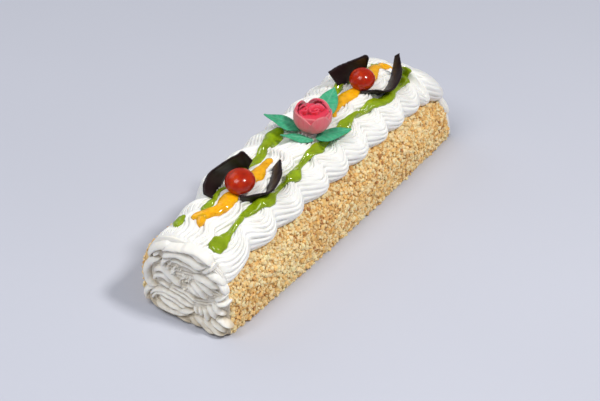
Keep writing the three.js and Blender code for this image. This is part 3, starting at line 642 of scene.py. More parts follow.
def cream_finish(name, tone, groove_shade_tone=None):
    """Whipped cream: soft, dense white with fine air bubbles; where a second tone is given, it is painted
    shade in the grooves and where the cream lies thin.
    """
    finish = Finish(name, 0.42, (0.25, (1.0, 0.85, 0.65), 0.0012))
    tones = finish.shades(finish.noise(45, 4), tone, (0.3, 0.97), (0.5, 1), (0.7, 1.03))
    if groove_shade_tone is not None:
        # painted shade: the cream blends to the second tone where the thickness value is low
        uneven = finish.spread(finish.noise(260, 3), -0.1, 0.1)
        thickness = finish.total(finish.attribute("thickness"), uneven)
        tones = finish.blend(finish.spread(thickness, 0.0, 1.0, 0.2, 0.64), (*groove_shade_tone, 1), tones)
    return finish.dressed(tones, finish.total(finish.noise(1400, 2), finish.noise(320, 3)), 0.25, 0.00022)


def nut_finish(name, pale, golden, toasted, by_chip):
    """Chopped roast nuts: each chip has its own roast, with darker skin on some."""
    finish = Finish(name, 0.55, (0.12, (1.0, 0.6, 0.3), 0.001))
    speckle = finish.noise(900, 4, 0.6)
    roast = finish.attribute("roast") if by_chip else finish.noise(260, 3, 0.6)
    roast = finish.total(roast, finish.spread(finish.noise(38, 2), -0.12, 0.12, 0.35, 0.65))
    roast = finish.total(roast, finish.spread(speckle, -0.07, 0.07))
    brown = lerp(np.array(golden), np.array(toasted), 0.5)
    stops = (0.0, scaled(pale, 1.12)), (0.3, pale), (0.62, golden), (0.86, brown), (0.97, toasted)
    finish.set(finish.shader, {"Roughness": finish.spread(speckle, 0.45, 0.7)})
    return finish.dressed(finish.ramp(roast, *stops), speckle, 0.5, 0.0004)


def gel_finish(name, tone):
    """Clear coloured fruit gel, wet and glossy."""
    scatter = (0.55, (1.0, 1.0, 0.4), 0.002)
    finish = Finish(name, 0.08, scatter, IOR=1.4, Coat_Weight=0.6, Coat_Roughness=0.03)
    tones = finish.shades(finish.noise(170, 3), tone, (0.3, 0.8), (0.55, 1), (0.75, 1.22))
    return finish.dressed(tones, finish.noise(260, 3), 0.4, 0.0007)


def cherry_finish(name, tone):
    """Candied cherry: deep translucent red under a clear syrup."""
    scatter = (0.75, (1.0, 0.2, 0.05), 0.006)
    finish = Finish(name, 0.2, scatter, IOR=1.36, Coat_Weight=0.25, Coat_Roughness=0.03)
    tones = finish.shades(finish.noise(120, 4), tone, (0.3, 0.75), (0.5, 1), (0.72, (1.35, 2.2, 1)))
    return finish.dressed(tones, finish.noise(260, 3), 0.12, 0.0005)


def petal_finish(name, tone, pale):
    """Sugar paste petals: matt, paler at the foot and rim, with fine lines."""
    finish = Finish(name, 0.5, (0.45, (1.0, 0.3, 0.35), 0.004), Sheen_Weight=0.25, Sheen_Roughness=0.5)
    streaks = finish.noise(700, 3, 0.6, (1, 1, 0.12))
    amount = finish.total(finish.attribute("paleness"), finish.spread(streaks, -0.16, 0.16))
    tones = finish.ramp(amount, (0.05, scaled(tone, 0.85)), (0.35, tone), (0.95, pale))
    return finish.dressed(tones, streaks, 0.3, 0.0003)


def leaf_finish(name, tone):
    """Sugar wafer leaf: matt bluish green, paler along the veins."""
    finish = Finish(name, 0.6, (0.1, (1.0, 0.2, 0.1), 0.001))
    base = finish.shades(finish.noise(330, 4, 0.6), tone, (0.25, 0.72), (0.5, 1), (0.8, 1.35))
    pale = lerp(np.array(tone), 1, np.array((0.07, 0.1, 0.08)))
    tones = finish.blend(finish.attribute("vein"), base, (*pale, 1))
    return finish.dressed(tones, finish.noise(1500, 3), 0.3, 0.0002)


def chocolate_finish(name, tone):
    """Dark chocolate with a soft sheen and a faint bloom."""
    finish = Finish(name, 0.4, IOR=1.42, Specular_IOR_Level=0.3)
    bloom = finish.noise(150, 5, 0.6)
    streaks = finish.noise(500, 3, 0.5, (0.25, 1, 1))
    finish.set(finish.shader, {"Roughness": finish.spread(streaks, 0.36, 0.52)})
    tones = finish.shades(bloom, tone, (0.35, 1), (0.6, 1.2), (0.8, 1.6))
    return finish.dressed(tones, finish.total(streaks, bloom), 0.15, 0.0003)


def floor_finish(name, tone):
    """Plain pale matt floor."""
    finish = Finish(name, 0.75)
    tones = finish.shades(finish.noise(2.5, 2), tone, (0.3, 0.98), (0.7, 1.02))
    finish.set(finish.shader, {"Base Color": tones})
    return finish.material


# ---- Piped rope -----------------------------------------------------------------------------------------


def beside(path, width=1):
    """Directions to the right of a flat path, smoothed along it."""
    ahead = normalised(softened(np.gradient(path, axis=0), width))
    return np.stack([ahead[:, 1], -ahead[:, 0]], -1)


def evenly(way, per_span, step, least=2):
    """Distances along a smooth way in even steps, and the way's rows there."""
    dense = spline(way, per_span)
    run = run_along(dense[:, :2])
    at = np.linspace(0, run[-1], max(least, int(run[-1] / step)))
    return at, np.stack([np.interp(at, run, column) for column in dense.T], -1)


def piped_rope(way, place, teeth, per_tooth, rib_depth, step, rng):
    """Rope of cream squeezed through a star nozzle along a way.

    Each row of the way: place along, place across, height of the rope's middle, half width, half
    height, crispness of the ribs. place() gives points on the surface below, for places in about
    millimetres.
    """
    # how far the ribs are drawn smooth along the rope, as a share of its width
    drawn = 0.55
    at, rows = evenly(way, 24, step)
    path = rows[:, :2]
    off, wide, tall, crisp = rows.T[2:]
    side = beside(path, 5)

    # the rope starts and ends rounded off
    swell = rounded(np.minimum(at, at[-1] - at) / wide, 0.0008)
    swell = swell * (1 + 0.045 * waves(at, rng, low=0.01, high=0.06))
    crisp = crisp * (0.8 + 0.35 * waves(at, rng, low=0.008, high=0.05))

    angle = np.linspace(0, math.tau, teeth * per_tooth, endpoint=False)[None, :]
    twist = (0.4 * waves(at, rng, low=0.002, high=0.012))[:, None]
    ridge = np.abs(np.sin(teeth * angle / 2)) ** 0.8
    run = at[:, None]
    lively = 1 + 0.015 * np.sin(angle * 3 + run * 0.21) + 0.01 * np.sin(angle * 7 - run * 0.47)
    radial = (1 - rib_depth * crisp[:, None] * (1 - ridge)) * lively * swell[:, None]
    u = np.sin(angle + twist) * radial * wide[:, None]
    w = np.cos(angle + twist) * radial * tall[:, None]

    # ribs run together on the inside of a bend and sweep wide round the outside
    width = max(3, int(drawn * 2 * wide.max() / step) | 1)
    pull = softened(path, width) - path
    spots = softened(path[:, None] + side[:, None] * u[..., None], width) - 0.8 * pull[:, None]
    return loft(place(spots[..., 0], spots[..., 1], off[:, None] + w))


def rib_section(count, width):
    """Cross-section of a ribbon: share across, share of the height, way out, run and whole run."""
    size = (abs(width), 9.0)
    angle = np.linspace(0, math.pi, 600)
    across = (1 - np.sign(np.cos(angle)) * np.abs(np.cos(angle)) ** 0.75) / 2
    section = np.stack([across, np.sin(angle) ** 0.75], -1)
    run = run_along(section * size)
    at = np.linspace(0, run[-1], count)
    section = np.stack([np.interp(at, run, column) for column in section.T], -1)
    slope = np.gradient(section * size, axis=0)
    way_out = normalised(np.stack([-slope[:, 1], slope[:, 0]], -1))
    return *section.T, way_out, at / run[-1], run[-1]


def piped_ribbon(
    low, high, lag, sizes, rng, swing=7.0, tilt=3.0, crisp=1.0, sweep=0.0, dome=0.0, spill=(0.0, 0.0)
):
    """Ribbon of cream piped in a zigzag from its outer border low to its inner border high.

    Each rib follows the zigzag; the ribs are drawn together round the notches of the outer border
    and swing widest in the middle of the ribbon.
    """
    inwards = 1 if high > low else -1
    x = np.arange(NEAR_X + 0.4, FAR_X + FAR_DOME, RIBBON_STEP)[:, None]
    across, rise, way_out, place, around = rib_section(RIBBON_POINTS, high - low)
    ribs = around / (sizes.rib_pitch * 1000)
    q = across[None, :]
    bow = np.sin(math.pi * q)

    # the wave of the ribs, sharp at the outer border and softer inside
    grid = np.arange(NEAR_X - 60, FAR_X + 60, 0.5)
    sharp = softened(edge_draw(grid + lag), 9)
    soft = softened(sharp, 21)
    wander = waves(grid, rng, low=0.006, high=0.03)
    shifted = x - tilt * (q - 0.3) + 2.5 * np.interp(x, grid, wander) * bow
    wave = lerp(np.interp(shifted, grid, sharp), np.interp(shifted, grid, soft), ease(q, 0.0, 0.4))
    plump = ease(x, *PLUMP)
    turn = low + (high - low) * q + inwards * (lerp(6.0, 8.5, q) + swing * bow) * wave * lerp(1, 0.8, plump)
    swept = ease(-x, *(RIGHT_SWEEP if sweep > 0 else LEFT_SWEEP))
    turn = turn - inwards * (sweep * swept + 4 * ease(x, *FAR_SWEEP)) * (1 - q) ** 0.5
    near_spill, far_spill = spill
    turn = turn + inwards * (near_spill * ease(-x, *NEAR_SPILL) + far_spill * ease(x, *FAR_SPILL)) * q**2

    # the ribbon sinks a little at the notches and laps over itself
    crease = lobe_phase(x + lag - tilt * q + 3)
    lap = 0.7 * (crease - 0.5) * (1 - ease(crease, 0.9, 1.0)) - 0.35 * ease(crease, 0.9, 1.0)
    round_lobe = np.abs(np.sin(math.pi * (crease - 0.5))) ** 5
    sunk = 0.7 * wave**2 * (1 - q) ** 0.6 + plump * 2.2 * round_lobe
    closing = rounded(np.minimum((x - NEAR_X) / NEAR_CLOSING, (FAR_X + FAR_DOME - x) / FAR_CLOSING))
    foot = lerp(-0.8, 4.4, q)
    crest = RIBBON_HEIGHT - foot - sunk + lap + dome * ease(x, *DOMED) * np.sin(math.pi * q**1.2)

    # every groove has its own depth, which comes and goes along the ribbon
    number = np.round(place * ribs)
    deep = np.zeros((len(x), len(place)))
    for _ in range(6):
        along, across_ribs = rng.uniform(0.01, 0.06), rng.uniform(0.6, 3.0)
        deep += np.sin(math.tau * (x * along + number[None] * across_ribs) + rng.uniform(0, math.tau))
    depth = sizes.rib_depth * NOZZLE_HALF * crisp * lerp(1.0, 0.5, plump)
    depth = depth * np.clip(0.85 + 0.3 * deep, 0.12, 1.7)
    drift = 0.45 * waves(x + 5 * q, rng, low=0.004, high=0.02)
    groove = -depth * (1 - np.abs(np.sin(math.pi * (place[None] * ribs + drift))) ** 0.8)
    turn = turn + inwards * way_out[None, :, 0] * groove
    thin = thinning(x) * (1 - (0.6 * (1 - q) ** 0.7 * swept if sweep < 0 else 0))
    off = (foot + crest * rise[None]) * thin * closing + way_out[None, :, 1] * groove * closing
    top, bottom = on_roll(x, turn, off), on_roll(x, turn[:, ::-10], -1.2)
    points, faces = loft(np.concatenate([top, bottom], 1))
    # painted shade in the grooves: their points get a lower thickness value, which the finish darkens towards
    # the groove tone
    thickness = np.ones((len(x), top.shape[1] + bottom.shape[1]))
    thickness[:, : top.shape[1]] += np.clip(groove / 2.4, -0.75, 0)
    return points, faces, np.append(thickness.ravel(), (1, 1))


def bed_body():
    """Smooth cream under the ribbons."""
    x = np.linspace(NEAR_X + 0.5, FAR_X - 0.5, 120)[:, None]
    low = RIGHT_EDGE + 3 + 7 * edge_draw(x)
    high = LEFT_EDGE - 3 - 7 * edge_draw(x + 14) - 16 * ease(-x, 68, 108)
    turn = lerp(low, high, np.linspace(0, 1, 41)[None])
    rim = np.minimum(turn - low, high - turn) / 7
    depth = BED_DEPTH * np.sqrt(np.clip(rim, 0, 1)) * thinning(x)
    return loft(np.concatenate([on_roll(x, turn, depth), on_roll(x, turn, -1.5)[:, ::-1]], 1))


def on_end(end_x):
    """Place function of an end face: (y, z, depth) to points outside the face at end_x."""

    def place(y, z, depth):
        out = GAP + depth * (1 - 0.45 * foot_share(z) ** 2)
        points = settle(end_x + math.copysign(1, end_x) * out, y, z)
        points[..., 2] = np.maximum(points[..., 2], FLOOR_GAP)
        return points

    return place


def end_rim(end_x, share_of_size, count=72):
    """Points (y, z) round the end face, the size of its cream."""
    angle = np.linspace(-180, 180, count, endpoint=False)
    cream = (VALLEY_CREAM + 2) * float(thinning(end_x)) if end_x < 0 else 5.0
    r = section_radius(np.full(count, end_x), angle) + cream * (np.abs(angle) < 60)
    y, z = r * np.sin(np.radians(angle)), WIDEST_Z + r * np.cos(np.radians(angle))
    # below the widest place the face ends at the flat foot and the upright sides
    beyond_side = half_width(np.array(end_x)) / np.maximum(np.abs(y), 1e-6)
    beyond_foot = WIDEST_Z / np.maximum(WIDEST_Z - z, 1e-6)
    scale = np.where(np.abs(angle) > 90, np.minimum(beyond_side, beyond_foot), 1)
    # the near end's cream stays short of the coat on the left
    left = np.sin(math.pi * np.clip((angle - 25) / 115, 0, 1))
    scale = scale * (1 - 0.15 * np.clip(left, 0, 1) * (end_x < 0))
    y, z = y * scale, WIDEST_Z + (z - WIDEST_Z) * scale
    middle = np.array([0, ROLL_HEIGHT / 2])
    return middle + (np.stack([y, np.maximum(z, 0)], -1) - middle) * share_of_size


def end_bed(end_x, depth):
    """Low smooth mound of cream on an end face, under the ropes."""
    place = on_end(end_x)
    profile = ((0.05, 0), (0.96, 0), (0.985, 0.25), (0.96, 0.6), (0.88, 0.85), (0.6, 1), (0.25, 1.05))
    return loft(np.stack([place(*end_rim(end_x, size).T, depth * rise) for size, rise in profile]))


def ridge_body(half, height, way, place, rng):
    """Ridge of cream along a way over an end face, drawn out thin at both ends and sagging a little."""
    at, path = evenly(way, 16, RIDGE_STEP, 12)
    side = beside(path)
    path = path + side * 0.3 * waves(at, rng, low=0.05, high=0.2)[:, None]
    from_ends = np.clip(np.minimum(at, at[-1] - at) / (3.6 * half), 0.02, 1)
    taper = (1 - (1 - from_ends) ** 2) ** 0.75
    wide = half * taper * (1 + 0.16 * waves(at, rng, low=0.03, high=0.15))
    tall = (height - RIDGE_FOOT) * taper**0.6 * (1 + 0.08 * waves(at, rng, low=0.02, high=0.1))
    angle = np.linspace(0, math.tau, 26, endpoint=False)
    fine = 1 + 0.045 * np.cos(5 * angle + 0.8)
    out = np.maximum(np.sin(angle), 0) ** 1.3 * fine
    rise = np.where(np.sin(angle) >= 0, out, 0.25 * np.sin(angle))
    spots = path[:, None] + side[:, None] * (wide[:, None] * np.cos(angle) * fine)[..., None]
    sag = RIDGE_SAG * tall[:, None] * out[None] ** 2
    return loft(place(spots[..., 0], spots[..., 1] - sag, RIDGE_FOOT + tall[:, None] * rise))


def crumb_bodies(place, rng):
    """Small broken ridges where the cream tore."""
    y, z, long, narrow = CRUMBS
    bodies = []
    for _ in range(CRUMB_COUNT):
        far, aside = rng.uniform(-1, 1) * long, rng.uniform(-1, 1) * narrow
        at = np.array([y - 0.78 * far - 0.62 * aside, z - 0.62 * far + 0.78 * aside])
        angle = rng.normal(math.radians(218), 0.9)
        ahead = np.array([math.cos(angle), math.sin(angle)]) * rng.uniform(1.2, 2.8)
        bend = np.array([-ahead[1], ahead[0]]) * rng.uniform(-0.5, 0.5)
        way = (at - ahead, at + bend, at + ahead)
        bodies.append(ridge_body(rng.uniform(0.8, 1.5), rng.uniform(5.2, 7.2), way, place, rng))
    return bodies


# ---- Operators -----------------------------------------------------------------------------------------


class CakePart:
    """What every operator of the cake shares."""

    bl_options = {"REGISTER", "UNDO"}

    @classmethod
    def poll(cls, context):
        return context.scene is not None

    def start(self, context, number):
        """The cake's sizes and colours, and random numbers for the group of pieces."""
        scene = context.scene
        return scene.cake_sizes, scene.cake_colours, np.random.default_rng(SEED + number)


class CAKE_OT_nut_coat(CakePart, bpy.types.Operator):
    """Coat the roll in chopped roast nuts"""

    bl_idname = "cake.nut_coat"
    bl_label = "Nut coat"

    def execute(self, context):
        sizes, colours, rng = self.start(context, 0)
        tones = (colours.nut_pale, colours.nut_golden, colours.nut_toasted)
        crust = nut_finish("nut_crust", *tones, by_chip=False)
        chips = nut_finish("nut_chips", *tones, by_chip=True)
        make_piece("roll_crust", *crust_body(rng), crust, ["roll"], "nut_coating")
        spacing, size = sizes.nut_spacing * 1000, sizes.nut_size * 1000
        grains = {
            "nut_chips": (spacing, size, 0.35, chip_shape()),
            "nut_crumbs": (spacing * 0.86, size * 0.56, 0.9, crumb_shape()),
        }
        for name, kind in grains.items():
            points, faces, roast = nut_grains(rng, *kind)
            values = {"roast": roast}
            make_piece(name, points, [faces], chips, ["roll"], "nut_coating", smooth=False, values=values)
        return {"FINISHED"}


COAT_RADIUS = MID_HALF_WIDTH + 0.5
# how far the coat reaches up the side along its section, from the base
COAT_RUN = WIDEST_Z + math.radians(90 - COATED_FROM + 3) * COAT_RADIUS


def coat_point(x, run, side, off):
    """Point on the coated side: run is the distance from the base up along the section."""
    turn = 90 - np.degrees((run - WIDEST_Z) / COAT_RADIUS)
    flank = on_flank(x, side, np.clip(WIDEST_Z - run, 0, WIDEST_Z), off - COAT_SUNK)
    return np.where((run < WIDEST_Z)[..., None], flank, on_roll(x, side * turn, off - COAT_SUNK))


def crust_body(rng):
    """The roll itself with a lumpy crust."""
    x = np.linspace(NEAR_X, FAR_X, 150)[:, None]
    up_side = np.linspace(0.0, COAT_RUN, 32)[None]
    lumps = rng.uniform(-0.7, 0.25, (x.size, 2 * up_side.size))
    lumps[:, [0, -1]] = -0.4
    right = coat_point(x, up_side, -1, lumps[:, : up_side.size])
    left = coat_point(x, up_side[:, ::-1], 1, lumps[:, up_side.size :])
    top = on_roll(x, np.linspace(-COATED_FROM + 5, COATED_FROM - 5, 7)[None], -0.3)
    rings = np.concatenate([right, top, left], 1)
    rings[..., 2] = np.maximum(rings[..., 2], 0)
    return loft(rings)


def chip_shape():
    """Corners and triangles of a body with twenty faces."""
    g = (1 + math.sqrt(5)) / 2
    corners = (
        (-1, g, 0), (1, g, 0), (-1, -g, 0), (1, -g, 0), (0, -1, g), (0, 1, g),
        (0, -1, -g), (0, 1, -g), (g, 0, -1), (g, 0, 1), (-g, 0, -1), (-g, 0, 1),
    )
    triangles = (
        (0, 11, 5), (0, 5, 1), (0, 1, 7), (0, 7, 10), (0, 10, 11), (1, 5, 9), (5, 11, 4), (11, 10, 2),
        (10, 7, 6), (7, 1, 8), (3, 9, 4), (3, 4, 2), (3, 2, 6), (3, 6, 8), (3, 8, 9), (4, 9, 5),
        (2, 4, 11), (6, 2, 10), (8, 6, 7), (9, 8, 1),
    )
    return normalised(np.array(corners)), np.array(triangles)


def crumb_shape():
    """Corners and triangles of a body with eight faces."""
    corners = ((1, 0, 0), (-1, 0, 0), (0, 1, 0), (0, -1, 0), (0, 0, 1), (0, 0, -1))
    triangles = ((0, 2, 4), (2, 1, 4), (1, 3, 4), (3, 0, 4), (2, 0, 5), (1, 2, 5), (3, 1, 5), (0, 3, 5))
    return np.array(corners, float), np.array(triangles)


def nut_grains(rng, gap, size, sink, shape):
    """Angular chips strewn over both coated sides: points, triangles and the roast of each point."""
    spots = np.meshgrid(
        np.linspace(NEAR_X + 0.6, FAR_X - 0.6, int((FAR_X - NEAR_X) / gap)),
        np.linspace(0.9, COAT_RUN, int(COAT_RUN / gap)),
        (-1.0, 1.0),
        indexing="ij",
    )
    x, run, side = (values.ravel() for values in spots)
    count = len(x)
    x = np.clip(x + rng.uniform(-GRAIN_STRAY, GRAIN_STRAY, count) * gap, NEAR_X + 0.4, FAR_X - 0.4)
    run = np.clip(run + rng.uniform(-GRAIN_STRAY, GRAIN_STRAY, count) * gap, 0.8, COAT_RUN)
    scale = size / 2 * rng.lognormal(0, 0.24, count).clip(0.55, 1.6)
    lift = scale * rng.uniform(0.05, 0.75, count) - sink * size * 0.12
    centre = coat_point(x, run, side, lift)
    out = normalised(coat_point(x, run, side, lift + 1) - centre)

    corners, triangles = shape
    body = corners[None] * rng.uniform(0.72, 1.18, (count, len(corners), 1))
    # longest along, thinnest through
    stretch = [rng.uniform(low, high, count) for low, high in ((1.0, 1.45), (0.75, 1.1), (0.5, 0.85))]
    body = body * np.stack(stretch, -1)[:, None]
    # random turn about the way out of the coat, then a random tip
    first = normalised(np.cross(out, normalised(rng.normal(size=(count, 3)))))
    second = np.cross(out, first)
    tip = rng.normal(0, 0.45, (count, 1))
    third = normalised(out * np.cos(tip) + first * np.sin(tip))
    axes = np.stack([normalised(np.cross(second, third)), second, third], 1)
    points = centre[:, None] + np.einsum("nkc,ncd->nkd", body * scale[:, None, None], axes)
    widest = MID_HALF_WIDTH + 0.85
    points[..., 1] = np.clip(points[..., 1], -widest, widest)
    points[..., 2] = np.maximum(points[..., 2], FLOOR_GAP)
    faces = (triangles[None] + (np.arange(count) * len(corners))[:, None, None]).reshape(-1, 3)
    roast = np.clip(rng.beta(2.0, 2.6, count) + 0.35 * (rng.uniform(size=count) > 0.965), 0, 1)
    return points.reshape(-1, 3), faces, np.repeat(roast, len(corners))


class CAKE_OT_top_cream(CakePart, bpy.types.Operator):
    """Pipe three zigzag ribbons of cream over the top"""

    bl_idname = "cake.top_cream"
    bl_label = "Top cream"

    def execute(self, context):
        sizes, colours, rng = self.start(context, 1)
        finish = cream_finish("cream", colours.cream, colours.painted_groove_shade)
        points, faces = bed_body()
        # the bed lies under and between the ribbons and takes a little of the painted groove shade
        bodies = {"cream_bed": (points, faces, np.full(len(points), 0.6))}
        # outer and inner border, how far the wave lags, form
        ribbons = {
            "ribbon_right": (
                RIGHT_EDGE, RIGHT_VALLEY - 3.5, 0,
                {"sweep": 9.0, "dome": 8.0, "spill": (0.0, 22.0)},
            ),
            "ribbon_left": (LEFT_EDGE, LEFT_VALLEY + 3.5, 14, {"sweep": -9.0}),
            "ribbon_middle": (
                RIGHT_VALLEY - 1.0, LEFT_VALLEY - 7.0, 11,
                {"swing": 0.0, "tilt": 0.0, "crisp": 1.3, "dome": 3.0, "spill": (11.0, 0.0)},
            ),
        }
        for name, (low, high, lag, form) in ribbons.items():
            bodies[name] = piped_ribbon(low, high, lag, sizes, rng, **form)
        for name, (points, faces, thickness) in bodies.items():
            make_piece(name, points, faces, finish, ["cream_top"], "cream", values={"thickness": thickness})
        return {"FINISHED"}


def cream_depth_for_shade(points):
    """Share of the near end's full cream under each point, less towards the foot; where it is low the finish
    paints shade, in the face's grooves and at its foot.
    """
    x, y, z = points.T
    foot = foot_share(z)
    out = NEAR_X - x - NEAR_SPREAD * foot**2
    # it meets the cream on top in full
    turn = np.degrees(np.arctan2(y, z - WIDEST_Z))
    reach = np.hypot(y, z - WIDEST_Z) / section_radius(NEAR_X, turn)
    rim = ease(reach, 0.86, 0.98) * ease(z, WIDEST_Z, 2 * WIDEST_Z)
    # lower towards the foot, where the finish paints shade
    return np.clip(np.maximum(out / NEAR_CREAM - 0.16 * foot, rim), 0, 1)


class CAKE_OT_end_cream(CakePart, bpy.types.Operator):
    """Pipe the cream on both end faces"""

    bl_idname = "cake.end_cream"
    bl_label = "End cream"

    def execute(self, context):
        sizes, colours, rng = self.start(context, 2)
        # the end faces' cream is tinted warmer than the top's as painted warm bounce light
        finish = cream_finish("end_cream", colours.end_cream)
        shaded_end_finish = cream_finish("near_cream_painted_shade", colours.end_cream, colours.thin_cream_shade)
        half = sizes.end_rope_half * 1000
        place = on_end(NEAR_X)
        near_teeth = round(math.tau * half / (sizes.end_rib_pitch * 1000))
        way = [(y, z, 1.4, half, 2.5, 1.0) for y, z in NEAR_WAY]
        bodies = [end_bed(NEAR_X, 2.4), piped_rope(way, place, near_teeth, 6, sizes.end_rib_depth, 0.8, rng)]
        bodies += [ridge_body(*ridge, place, rng) for ridge in NEAR_RIDGES]
        points, faces = joined(bodies + crumb_bodies(place, rng))
        # painted shade: the near face darkens where its cream lies low in grooves and towards its foot
        thickness = {"thickness": cream_depth_for_shade(points)}
        make_piece("cream_near", points, faces, shaded_end_finish, ["cream_front"], "cream", values=thickness)
        way = [(y, z, 4.6, half * 1.2, 5.6, 0.4) for y, z in FAR_WAY]
        far = piped_rope(way, on_end(FAR_X), 14, 4, sizes.rib_depth, 1.2, rng)
        make_piece("cream_far", *joined([end_bed(FAR_X, 8.0), far]), finish, ["cream_back"], "cream")
        return {"FINISHED"}


def surface_tree(names):
    """Search tree over the finished surfaces of the named pieces."""
    points, triangles, start = [], [], 0
    for name in names:
        mesh = bpy.data.objects[name].data
        mesh.calc_loop_triangles()
        co = np.empty(len(mesh.vertices) * 3, np.float32)
        mesh.vertices.foreach_get("co", co)
        tri = np.empty(len(mesh.loop_triangles) * 3, np.int32)
        mesh.loop_triangles.foreach_get("vertices", tri)
        points.append(co.reshape(-1, 3))
        triangles.append(tri.reshape(-1, 3) + start)
        start += len(mesh.vertices)
    return BVHTree.FromPolygons(np.concatenate(points).tolist(), np.concatenate(triangles).tolist())


def cream_height(tree, x, turn):
    """Height of the cream's surface above the roll at each (x, turn), in millimetres."""
    high = 26.0
    start, end = ((on_roll(x, turn, off) + SHIFT) / 1000 for off in (high, 0.0))
    heights = np.zeros(x.shape)
    for index in np.ndindex(x.shape):
        ray = end[index] - start[index]
        distance = tree.ray_cast(Vector(start[index]), Vector(ray))[3]
        heights[index] = 0.0 if distance is None else high * (1 - distance / np.linalg.norm(ray))
    return heights


def gel_bead(tree, line, height, rng):
    """Bead of gel draped over the cream: closed body along the line, and its upper surface."""
    run = line[-1][0] - line[0][0]
    samples = spline(line, 12)
    at = np.linspace(0, 1, max(12, int(run / BEAD_STEP)))
    x, turn, half = (np.interp(at, np.linspace(0, 1, len(samples)), column) for column in samples.T)
    half = half * (1.22 + 0.13 * waves(x, rng, low=0.04, high=0.16))
    round_off = rounded(np.minimum(at, 1 - at) * run / np.maximum(half, 1))
    v = np.sin(np.linspace(-math.pi / 2, math.pi / 2, BEAD_POINTS))
    degrees = np.degrees(1 / (section_radius(x, turn) + 9))
    xs = np.repeat(x[:, None], len(v), 1)
    turns = turn[:, None] + v[None] * (half * round_off * degrees)[:, None]
    real = cream_height(tree, xs, turns)
    # the gel's level is the highest cream close by
    padded = np.pad(real, 2, mode="edge")
    rows, columns = real.shape
    near_by = [padded[i : i + rows, j : j + columns] for i in range(5) for j in range(5)]
    level = softened(softened(np.max(near_by, 0).T, 3).T, 7)
    crown = np.sqrt(np.clip(1 - v**2, 0, 1))[None]
    thick = (height * (0.55 + 0.45 * np.clip(half / 3, 0.4, 1.4)) * round_off)[:, None]
    top = on_roll(xs, turns, level + thick * crown - 0.1)
    bottom = on_roll(xs, turns, np.minimum(level, real) - 0.8)
    return loft(np.concatenate([top, bottom[:, ::-1][:, 1:-1]], 1)), top


def bubbles(spots, rng, count):
    """Tiny air bubbles at the surface of the gel."""
    inner = spots[:, 3:-3].reshape(-1, 3)
    centre = inner[rng.choice(len(inner), min(count, len(inner)), replace=False)]
    bubble = ball(5, 8, 0.15)
    return [loft(spot + bubble * rng.uniform(0.22, 0.5)) for spot in centre]


class CAKE_OT_fruit_gel(CakePart, bpy.types.Operator):
    """Lay beads of fruit gel in the valleys of the cream"""

    bl_idname = "cake.fruit_gel"
    bl_label = "Fruit gel"

    def execute(self, context):
        sizes, colours, rng = self.start(context, 3)
        tree = surface_tree(["cream_bed", "ribbon_right", "ribbon_left", "ribbon_middle", "cream_near"])
        for name, lines in (("gel_yellow", YELLOW_GEL), ("gel_green", GREEN_GEL)):
            parts = []
            for line in lines:
                bead, spots = gel_bead(tree, line, sizes.gel_height * 1000, rng)
                parts += [bead, *bubbles(spots, rng, int(len(spots) * BUBBLES))]
            make_piece(name, *joined(parts), gel_finish(name, getattr(colours, name)), ["cream_top"])
        return {"FINISHED"}


class CAKE_OT_cherries(CakePart, bpy.types.Operator):
    """Set the two candied cherries"""

    bl_idname = "cake.cherries"
    bl_label = "Cherries"

    def execute(self, context):
        sizes, colours, rng = self.start(context, 4)
        finish = cherry_finish("cherry", colours.cherry)
        stone_hole = normalised(np.array([-0.2, 0.5, 0.75]))
        for name, (at, squash) in CHERRIES.items():
            skin = ball(34, 56, 0.02)
            dents = np.zeros(skin.shape[:2])
            for _ in range(9):
                spot = normalised(rng.normal(size=3))
                dents += rng.uniform(0.006, 0.022) * np.exp(-((1 - skin @ spot) / rng.uniform(0.02, 0.12)))
            # the dimple where the stone was taken out
            dents += 0.09 * np.exp(-((1 - skin @ stone_hole) / 0.02))
            radii = sizes.cherry_radius * 1000 * np.array(squash)
            body = skin * (1 - dents)[..., None] * radii + np.array(at)
            make_piece(name + "_glazed", *loft(body), finish, [name], "cherry")
        return {"FINISHED"}


def shard_body(stations, thickness, rng):
    """Curved chocolate shard with a snapped, slightly uneven rim."""
    foot, rim = np.split(spline(stations, 14), 2, axis=1)
    along = run_along(rim)
    uneven = 0.3 * waves(along, rng, 5, 0.03, 0.25) + 0.3 * waves(along, rng, 5, 0.3, 0.8)
    lip = normalised(rim - foot)
    rim = rim + lip * np.minimum(uneven - 0.55, 0)[:, None]
    heights = np.linspace(0, 1, 9)
    middle = lerp(foot[:, None], rim[:, None], heights[None, :, None])
    ahead = normalised(np.gradient(middle[:, 4], axis=0))
    side = normalised(np.cross(lip, ahead))[:, None]
    # the shard bellies a little between foot and rim
    belly = 0.7 * np.sin(math.pi * heights)[None] * np.sin(math.pi * along / along[-1])[:, None]
    middle = middle + side * belly[..., None]
    half = (thickness / 2 * (1 - 0.25 * heights**4))[None, :, None]
    # a rounded lip along the rim
    crest = middle[:, -1:] + lip[:, None] * 0.25
    return loft(np.concatenate([middle + side * half, crest, (middle - side * half)[:, ::-1]], 1))


class CAKE_OT_chocolate(CakePart, bpy.types.Operator):
    """Stand the chocolate shards round the cherries"""

    bl_idname = "cake.chocolate"
    bl_label = "Chocolate shards"

    def execute(self, context):
        sizes, colours, rng = self.start(context, 5)
        finish = chocolate_finish("chocolate", colours.chocolate)
        for name, stations in CHOCOLATE.items():
            shard = shard_body(stations, sizes.chocolate_thickness * 1000, rng)
            make_piece(name + "_snapped", *shard, finish, [name], "chocolate")
        return {"FINISHED"}


def capped(rings, values):
    """Body through the rings, with the value of each of its points."""
    values = values.ravel()
    return *loft(rings), np.append(values, (values[0], values[-1]))


